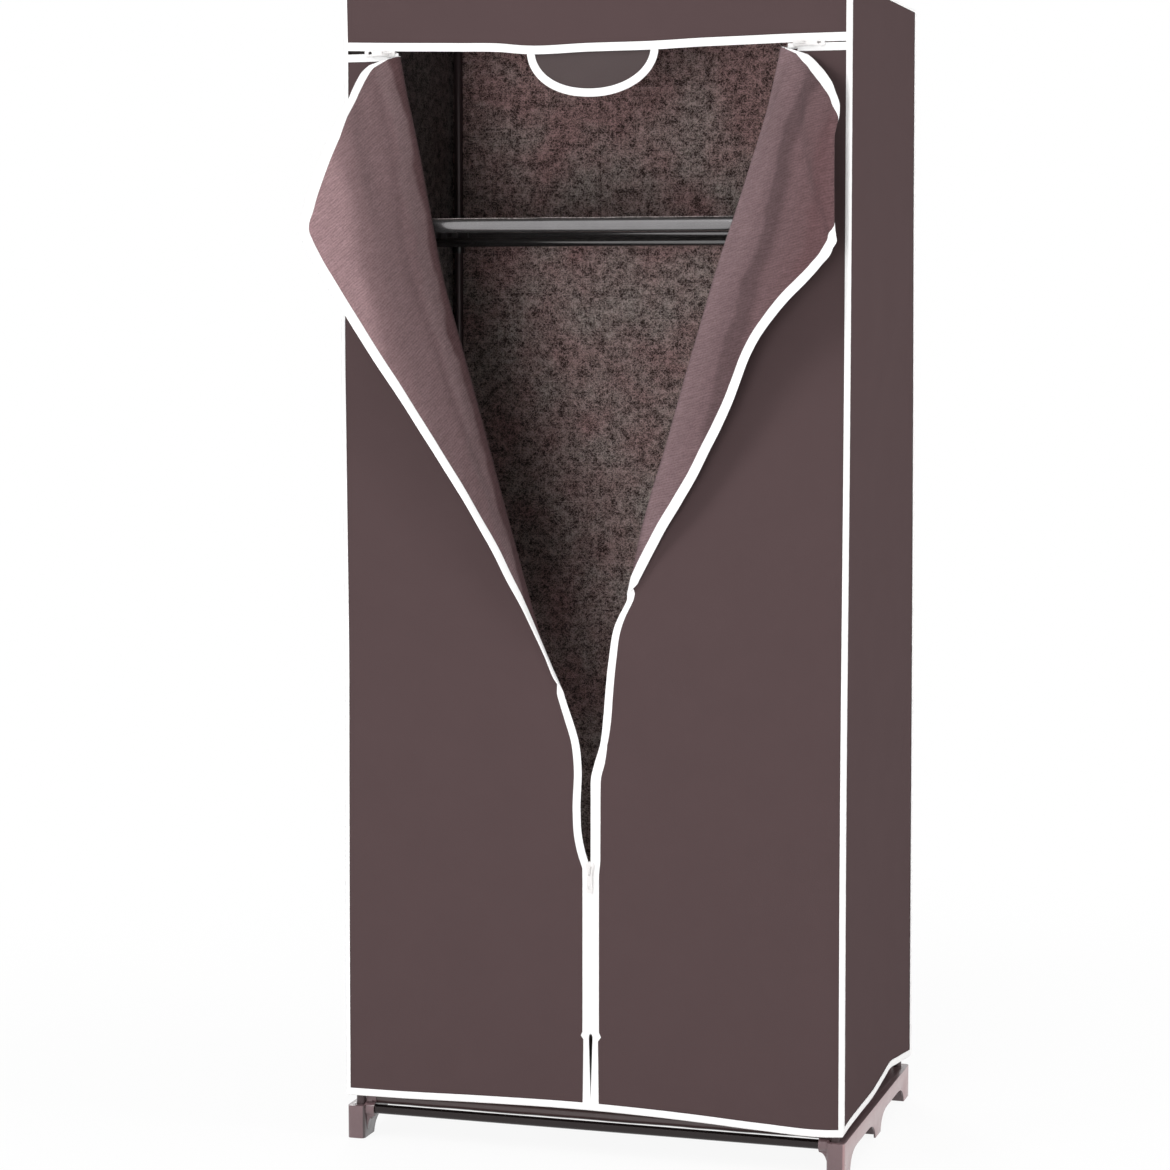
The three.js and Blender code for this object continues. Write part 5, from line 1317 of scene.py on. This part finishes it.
# Half an ellipse of thin cloth: each row of the grid spans the ellipse at its own height.
def makeTab():
    tab = tabLook
    half, drop = tab["half"] - tab["inset"], tab["drop"] - tab["inset"]
    u, v = np.meshgrid(np.linspace(-tab["sides"], tab["sides"], tab["columns"]),
                       np.linspace(0, 1, tab["rows"]))
    x = half * u + tab["middle"]
    low = drop * np.sqrt(1 - u * u)
    z = headerAt(x.ravel()).reshape(x.shape) + tab["sewn"] - (low + tab["sewn"]) * v
    y = frontY + tab["behind"] + tab["wave"] * softWaves(x, z, 31, *tab["waves"])
    index = np.arange(u.size).reshape(u.shape)
    points = np.stack([x, y, z], axis=-1).reshape(-1, 3)
    uv = np.stack([x.ravel(), z.ravel()], axis=1)
    towards = np.ones((u.size, 1)) * np.array([0, 1, 0.0])
    piece = makeSheet("tab_sheet", points, towards, gridQuads(index)[:, ::-1], uv, finishes["tab"],
                      finishes["tab"], tab["thick"])
    dress(piece, "tab_cloth", "header_tab")


makeCoverTapes()
makeHeaderTapes()
makeTab()
print("cover tapes and tab made")


# The start angles are in degrees from the front: the shelf only rests on its tubes, and the base goes
# round them in sleeves.
sleeveLook = {"gap": 0.0004, "thick": 0.001, "gather": 0.0005, "waves": (0.12, 0.02, 6), "steps": 90,
              "waveAcross": 0.5, "roundSteps": 16, "acrossSteps": 40,
              "shelf": {"from": 78, "sag": 0.003}, "base": {"from": -200, "sag": 0.004}}


# Middle line and radius of a tube, from its box: it runs along the box's longest side.
def tubeLine(name):
    low, high = (np.array(corner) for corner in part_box(name))
    size = high - low
    axis = int(np.argmax(size))
    middle = (low + high) / 2
    start, end = middle.copy(), middle.copy()
    start[axis], end[axis] = low[axis], high[axis]
    return start, end, np.delete(size, axis).max() / 2, axis


# Cloth slung over two tubes: round the first from a start angle to its crown, across with a sag,
# and round the second to the mirrored angle. Slow ripples run along the tubes.
def makeSlung(name, nodeName, tubes, kind, finish, slotName, seed):
    look, sag = sleeveLook, sleeveLook[kind]["sag"]
    (firstLine, _, radius, _), (secondLine, _, _, _) = (tubeLine(tube) for tube in tubes)
    low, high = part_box(nodeName)
    steps = look["steps"]
    x = np.linspace(low.x, high.x, steps)[:, None]
    turn = np.radians(np.linspace(look[kind]["from"], 90, look["roundSteps"]))
    over = radius + look["gap"] + clothThick / 2
    y0, y1, z = firstLine[1], secondLine[1], firstLine[2]
    first = np.stack([y0 - over * np.cos(turn), z + over * np.sin(turn)], axis=1)
    share = np.linspace(0, 1, look["acrossSteps"])[1:-1]
    flat = np.stack([y0 + (y1 - y0) * share, z + over - sag * np.sin(math.pi * share)], axis=1)
    second = np.stack([y1 + over * np.cos(turn[::-1]), z + over * np.sin(turn[::-1])], axis=1)
    line = np.concatenate([first, flat, second])
    reach = np.concatenate([[0], np.cumsum(np.linalg.norm(np.diff(line, axis=0), axis=1))])
    way = np.gradient(line, reach, axis=0)
    way /= np.linalg.norm(way, axis=1, keepdims=True)
    away = np.stack([-way[:, 1], way[:, 0]], axis=1)
    ripple = look["gather"] * (1 + softWaves(x, reach * look["waveAcross"], seed, *look["waves"]))
    points = np.stack([x * np.ones(len(line)), line[:, 0] + away[:, 0] * ripple,
                       line[:, 1] + away[:, 1] * ripple], axis=-1)
    towards = np.stack([away[:, 0] * 0, -away[:, 0], -away[:, 1]], axis=1) * np.ones((steps, 1, 1))
    index = np.arange(steps * len(line)).reshape(steps, len(line))
    uv = np.stack([(x * np.ones(len(line))).ravel(), (reach * np.ones((steps, 1))).ravel()], axis=1)
    piece = makeSheet(name, points.reshape(-1, 3), towards.reshape(-1, 3), gridQuads(index), uv, finish,
                      finish, look["thick"])
    dress(piece, slotName, nodeName)


makeSlung("shelf_cloth", "shelf_sheet", ("shelf_tube_front", "shelf_tube_rear"), "shelf", finishes["side"],
          "lining_cloth", 41)
makeSlung("base_cloth_sheet", "base_sheet", ("base_sheet_tube_front", "base_sheet_tube_rear"), "base",
          finishes["base"], "base_cloth", 42)
print("shelf and base cloth made")


tubeLook = {"wall": 0.001, "ease": 0.0004, "sides": 48}
tubeFinishes = {"post": "post", "base_tube": "baseTube", "base_sheet_tube": "baseTube",
                "shelf_tube": "shelfTube", "hanging_rail": "rail", "top_tube": "post"}


# A shell of revolution: outer skin, eased lips and bore, turned round the tube's line.
def makeTube(nodeName, finish):
    start, end, radius, axis = tubeLine(nodeName)
    length = end[axis] - start[axis]
    ease, bore = tubeLook["ease"], radius - tubeLook["wall"]
    profile = np.array([(bore, 0), (radius - ease, 0), (radius, ease), (radius, length * 0.25),
                        (radius, length * 0.5), (radius, length * 0.75), (radius, length - ease),
                        (radius - ease, length), (bore, length), (bore, length * 0.5)])
    turn = np.linspace(0, math.tau, tubeLook["sides"], endpoint=False)[:, None]
    around = [np.cos(turn) * profile[:, 0], np.sin(turn) * profile[:, 0]]
    axes = [other for other in range(3) if other != axis]
    rings = np.zeros((tubeLook["sides"], len(profile), 3)) + start
    rings[..., axes[0]] += around[0]
    rings[..., axes[1]] += around[1]
    rings[..., axis] = start[axis] + profile[:, 1]
    part = sweptPart(rings, np.arange(tubeLook["sides"]) * mm, profile[:, 1], closed=True)
    dress(joinParts(f"{nodeName}_pipe", [part], [finishes[finish]]), "frame_tube", nodeName)


for nodeName in sorted(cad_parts):
    for start, finish in tubeFinishes.items():
        if nodeName.startswith(start) and "coupler" not in nodeName:
            makeTube(nodeName, finish)
            break
print("tubes turned")


# Mouldings and zip metal by the start of the node's name: width of the eased edge, finish and slot.
easeLook = {"base_rail": (0.0009, "plastic", "moulded_plastic"),
            "shelf_bracket": (0.0006, "bracket", "moulded_plastic"),
            "top_bracket": (0.0006, "bracket", "moulded_plastic"),
            "post_coupler": (0.0005, "bracket", "moulded_plastic"),
            "slider": (0.00035, "metal", "zip_metal"), "pull": (0.0003, "metal", "zip_metal")}
bevelLook = {"merge": 2e-6, "flat": 0.5, "segments": 2, "from": 38, "sharp": 42}   # angles in degrees


# A copy of the node with its loose triangles joined, flats cleaned and its edges rounded over.
def makeEased(nodeName, edgeWidth, finish, slotName, body):
    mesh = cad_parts[nodeName].data.copy()
    work = bmesh.new()
    work.from_mesh(mesh)
    bmesh.ops.remove_doubles(work, verts=work.verts, dist=bevelLook["merge"])
    bmesh.ops.dissolve_limit(work, angle_limit=math.radians(bevelLook["flat"]), verts=work.verts,
                             edges=work.edges)
    bmesh.ops.recalc_face_normals(work, faces=work.faces)
    work.to_mesh(mesh)
    work.free()
    mesh.materials.clear()
    mesh.materials.append(finishes[finish])
    piece = bpy.data.objects.new(f"{nodeName}_eased", mesh)
    bpy.context.scene.collection.objects.link(piece)
    bevel = piece.modifiers.new("edges", "BEVEL")
    bevel.width, bevel.segments, bevel.limit_method = edgeWidth, bevelLook["segments"], "ANGLE"
    bevel.angle_limit = math.radians(bevelLook["from"])
    bpy.context.view_layer.update()
    final = bpy.data.meshes.new_from_object(piece.evaluated_get(bpy.context.evaluated_depsgraph_get()))
    piece.modifiers.clear()
    piece.data = final
    final.polygons.foreach_set("use_smooth", np.ones(len(final.polygons), bool))
    final.set_sharp_from_angle(angle=math.radians(bevelLook["sharp"]))
    dress(piece, slotName, nodeName, body=body)


bodies = {"slider_centre": "centre_slider", "slider_left": "left_slider", "slider_right": "right_slider",
          "pull_centre": "centre_pull", "pull_left": "left_pull", "pull_right": "right_pull"}
for nodeName in sorted(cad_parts):
    for start, (edgeWidth, finish, slotName) in easeLook.items():
        if nodeName.startswith(start):
            makeEased(nodeName, edgeWidth, finish, slotName, bodies.get(nodeName, "root"))
            break
print("mouldings eased")


# Radius of the coil to its outside, its wire and pitch, sides of the wire, steps in a turn, and the
# woven tape's thickness and how far it stays inside the zip's box on its two edges.
zipLook = {"coil": 0.0010, "wire": 0.00045, "pitch": 0.0017, "sides": 5, "steps": 9, "tape": 0.0009,
           "tapeStart": 0.0005, "tapeShort": 0.0025, "sharp": 60}


# The tape is a flat band. The coil is a helix round a line at its edge, swept with a thin round wire.
def makeZip(nodeName, along, toothSide):
    look = zipLook
    low, high = (np.array(corner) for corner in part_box(nodeName))
    across = 0 if along == 2 else 2
    y = (low[1] + high[1]) / 2
    edge = high[across] if toothSide > 0 else low[across]
    line = edge - toothSide * look["coil"]
    wide = high[across] - low[across] - look["tapeShort"]
    section, spread = flatSection(wide, look["tape"], 5, look["tapeStart"])
    start, end = np.zeros(3), np.zeros(3)
    start[[along, across, 1]] = low[along], line, y
    end[[along, across, 1]] = high[along], line, y
    path = straight(start, end)
    sideways = np.zeros(3)
    sideways[across] = -toothSide
    parts = [ribbonPart(path, fixed(path, sideways), fixed(path, (0, 1, 0)), section, spread)]
    length, wire = high[along] - low[along], look["wire"]
    turns = length / look["pitch"]
    angle = np.linspace(0, math.tau * turns, int(turns * look["steps"]))[:, None]
    share = angle / (math.tau * turns)
    ring = np.linspace(0, math.tau, look["sides"], endpoint=False)
    reach = look["coil"] - wire / 2 + wire / 2 * np.cos(ring)
    rings = np.zeros((len(angle), look["sides"], 3))
    rings[..., across] = line + reach * np.cos(angle)
    rings[..., 1] = y + reach * np.sin(angle)
    rings[..., along] = low[along] + wire + (length - 2 * wire) * share
    rings[..., along] += wire / 2 * np.sin(ring)
    parts.append(sweptPart(rings, share[:, 0], ring * mm))
    dress(joinParts(f"{nodeName}_coil", parts, [finishes["coil"]], look["sharp"]), "zip_coil", nodeName)


makeZip("zip_tape_left", 2, 1)   # upright, coil on its right
makeZip("zip_tape_right", 2, -1)
makeZip("zip_top_left", 0, -1)   # level, coil below
makeZip("zip_top_right", 0, -1)
print("zips made")
